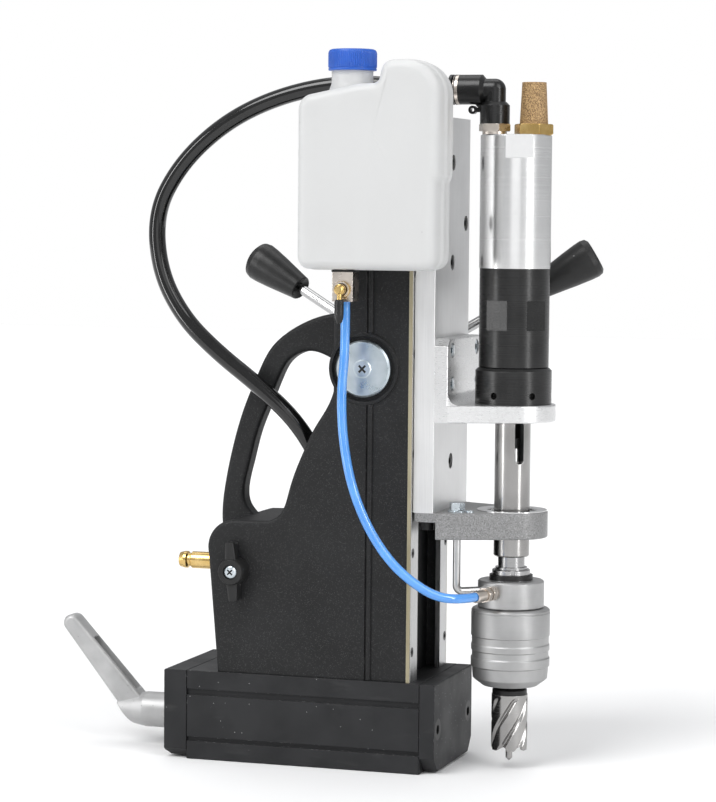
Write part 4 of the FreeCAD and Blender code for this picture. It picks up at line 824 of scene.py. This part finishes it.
tap_disc = lathe("tap_disc", (TAP_X * MM, TAP_DISC_Y * MM, TAP_Z * MM), (0, -1, 0),
                 [(7.5, 0), (7.7, 0.6), (7.7, 2.6), (7.2, 3.3), (5.8, 3.4)])
dress(tap_disc, "brass", "stand")
tap_boss = lathe("tap_boss", (TAP_X * MM, TAP_BOSS_Y * MM, TAP_Z * MM), (0, -1, 0),
                 [(4.6, 0), (4.6, 0.8), (5.2, 1.2), (5.2, 5.4), (4.9, 6.3), (4.0, 6.9), (3.9, 7.6),
                  (3.1, 8.4)])
tap_rod = lathe("tap_rod", (TAP_X * MM, TAP_ROD_Y * MM, (TAP_Z - 3) * MM), (0, 0, -1),
                [(2.0, -1), (2.4, 0), (2.4, 9.4)])
tap_sleeve = lathe("tap_sleeve", (TAP_X * MM, TAP_ROD_Y * MM, TAP_SLEEVE_Z * MM), (0, 0, -1),
                   [(2.6, 0.4), (3.3, 0), (3.9, 0.6), (4.1, 2), (4.1, 13), (3.8, 16.5), (3.0, 19.5),
                    (1.8, 21.6), (0.8, 22.0)])
dress(tap_boss, "brass", "tap_handle", "tap_lever")
dress(tap_rod, "brass", "tap_handle")
dress(tap_sleeve, "black_polymer", "tap_handle")

# ---------------------------------------------------------------- small pieces
BEAD_X, BEAD_Y, BEAD_R = 68.2, -61.2, 2.5
BEAD_RUNS = {"casting_bead_low": (84.2, 340.8), "casting_bead_high": (407.0, 464.5)}
for bead_name, (bead_low, bead_high) in BEAD_RUNS.items():
    bead = lathe(bead_name, (BEAD_X * MM, BEAD_Y * MM, bead_low * MM), (0, 0, 1),
                 [(BEAD_R - 0.5, 0), (BEAD_R, 0.5), (BEAD_R, bead_high - bead_low - 0.5),
                  (BEAD_R - 0.5, bead_high - bead_low)])
    dress(bead, "stand_black", "stand")

GASKET_LOW, GASKET_HIGH = (43.6, -104.5, 463.3), (64.2, -83.9, 465.2)
gasket = small_box("outlet_gasket", GASKET_LOW, GASKET_HIGH, 0.4)
dress(gasket, "dark_steel", "stand")

BUSH_SCREW_AT = Vector((158, -37.5, 241.8))
bush_screw = lathe("bush_screw", BUSH_SCREW_AT * MM, (0, 0, 1),
                   [(3.5, 0), (3.5, 1.5), (2.9, 2.1), (1.7, 2.1), (1.6, 1.1)])
dress(bush_screw, "zinc_plate", "drill_slide")

ELBOW_MOUTH_X, ELBOW_Z = 129.6, 631.8
elbow_lip = lathe("elbow_lip", (ELBOW_MOUTH_X * MM, 0, ELBOW_Z * MM), (1, 0, 0),
                  [(10.3, 0), (13.6, 0), (13.98, 0.4), (13.98, 1.6), (13.6, 2.0), (10.3, 2.0)])
dress(elbow_lip, "black_polymer", "drill_slide")

# ---------------------------------------------------------------- floor, light
def make_floor():
    size, below = 9.0, 0.0004
    floor = mesh_piece("floor", [(-size, -size, 0), (size, -size, 0), (size, size, 0), (-size, size, 0)],
                       [(0, 1, 2, 3)])
    floor.location.z = -below
    n = Nodes("floor_paper")
    floor.data.materials.append(n.finish(n.blend(n.noise(3), grey(0.93), grey(0.95)), 0.85))


def make_world():
    """White backdrop for the camera, a dimmer sky for the light it gives."""
    world = bpy.data.worlds.new("studio")
    scene.world = world
    world.use_nodes = True
    tree = world.node_tree
    back = tree.nodes["Background"]
    back.inputs["Color"].default_value = (0.97, 0.98, 1.0, 1)
    back.inputs["Strength"].default_value = 0.50
    white = tree.nodes.new("ShaderNodeBackground")
    white.inputs["Color"].default_value = (1, 1, 1, 1)
    white.inputs["Strength"].default_value = 1.0
    seen = tree.nodes.new("ShaderNodeLightPath")
    choose = tree.nodes.new("ShaderNodeMixShader")
    tree.links.new(seen.outputs["Is Camera Ray"], choose.inputs[0])
    tree.links.new(back.outputs[0], choose.inputs[1])
    tree.links.new(white.outputs[0], choose.inputs[2])
    tree.links.new(choose.outputs[0], tree.nodes["World Output"].inputs["Surface"])


def make_sun(name, heading, height, strength, spread_angle):
    """Soft sun that shines from the compass heading (degrees, 0 = +X) and height above the floor."""
    data = bpy.data.lights.new(name, "SUN")
    data.energy = strength
    data.angle = math.radians(spread_angle)
    lamp = link(bpy.data.objects.new(name, data))
    flat = math.cos(math.radians(height))
    way = Vector((flat * math.cos(math.radians(heading)), flat * math.sin(math.radians(heading)),
                  math.sin(math.radians(height))))
    lamp.rotation_euler = way.to_track_quat("Z", "Y").to_euler()


def make_strip(name, place, target, width, tall, power):
    """Soft box at place (metres) facing target: only draws bright bands on shiny metal and hoses."""
    data = bpy.data.lights.new(name, "AREA")
    data.shape = "RECTANGLE"
    data.size, data.size_y = width, tall
    data.energy = power
    lamp = link(bpy.data.objects.new(name, data))
    lamp.location = place
    lamp.rotation_euler = (Vector(place) - Vector(target)).to_track_quat("Z", "Y").to_euler()
    lamp.visible_diffuse = False


make_floor()
make_world()
make_sun("key", heading=-118, height=48, strength=1.75, spread_angle=34)
make_sun("fill", heading=-30, height=35, strength=0.95, spread_angle=40)
make_sun("top", heading=100, height=70, strength=0.55, spread_angle=40)
make_strip("soft_front", (1.0, -3.2, 1.3), (0.15, 0, 0.4), width=1.8, tall=1.8, power=8)
make_strip("strip_left", (-1.6, -1.5, 0.7), (0.1, 0, 0.4), width=0.26, tall=1.8, power=15)
make_strip("strip_right", (1.9, -0.9, 0.7), (0.15, 0, 0.4), width=0.26, tall=1.8, power=13)
scene.view_settings.view_transform = "Standard"
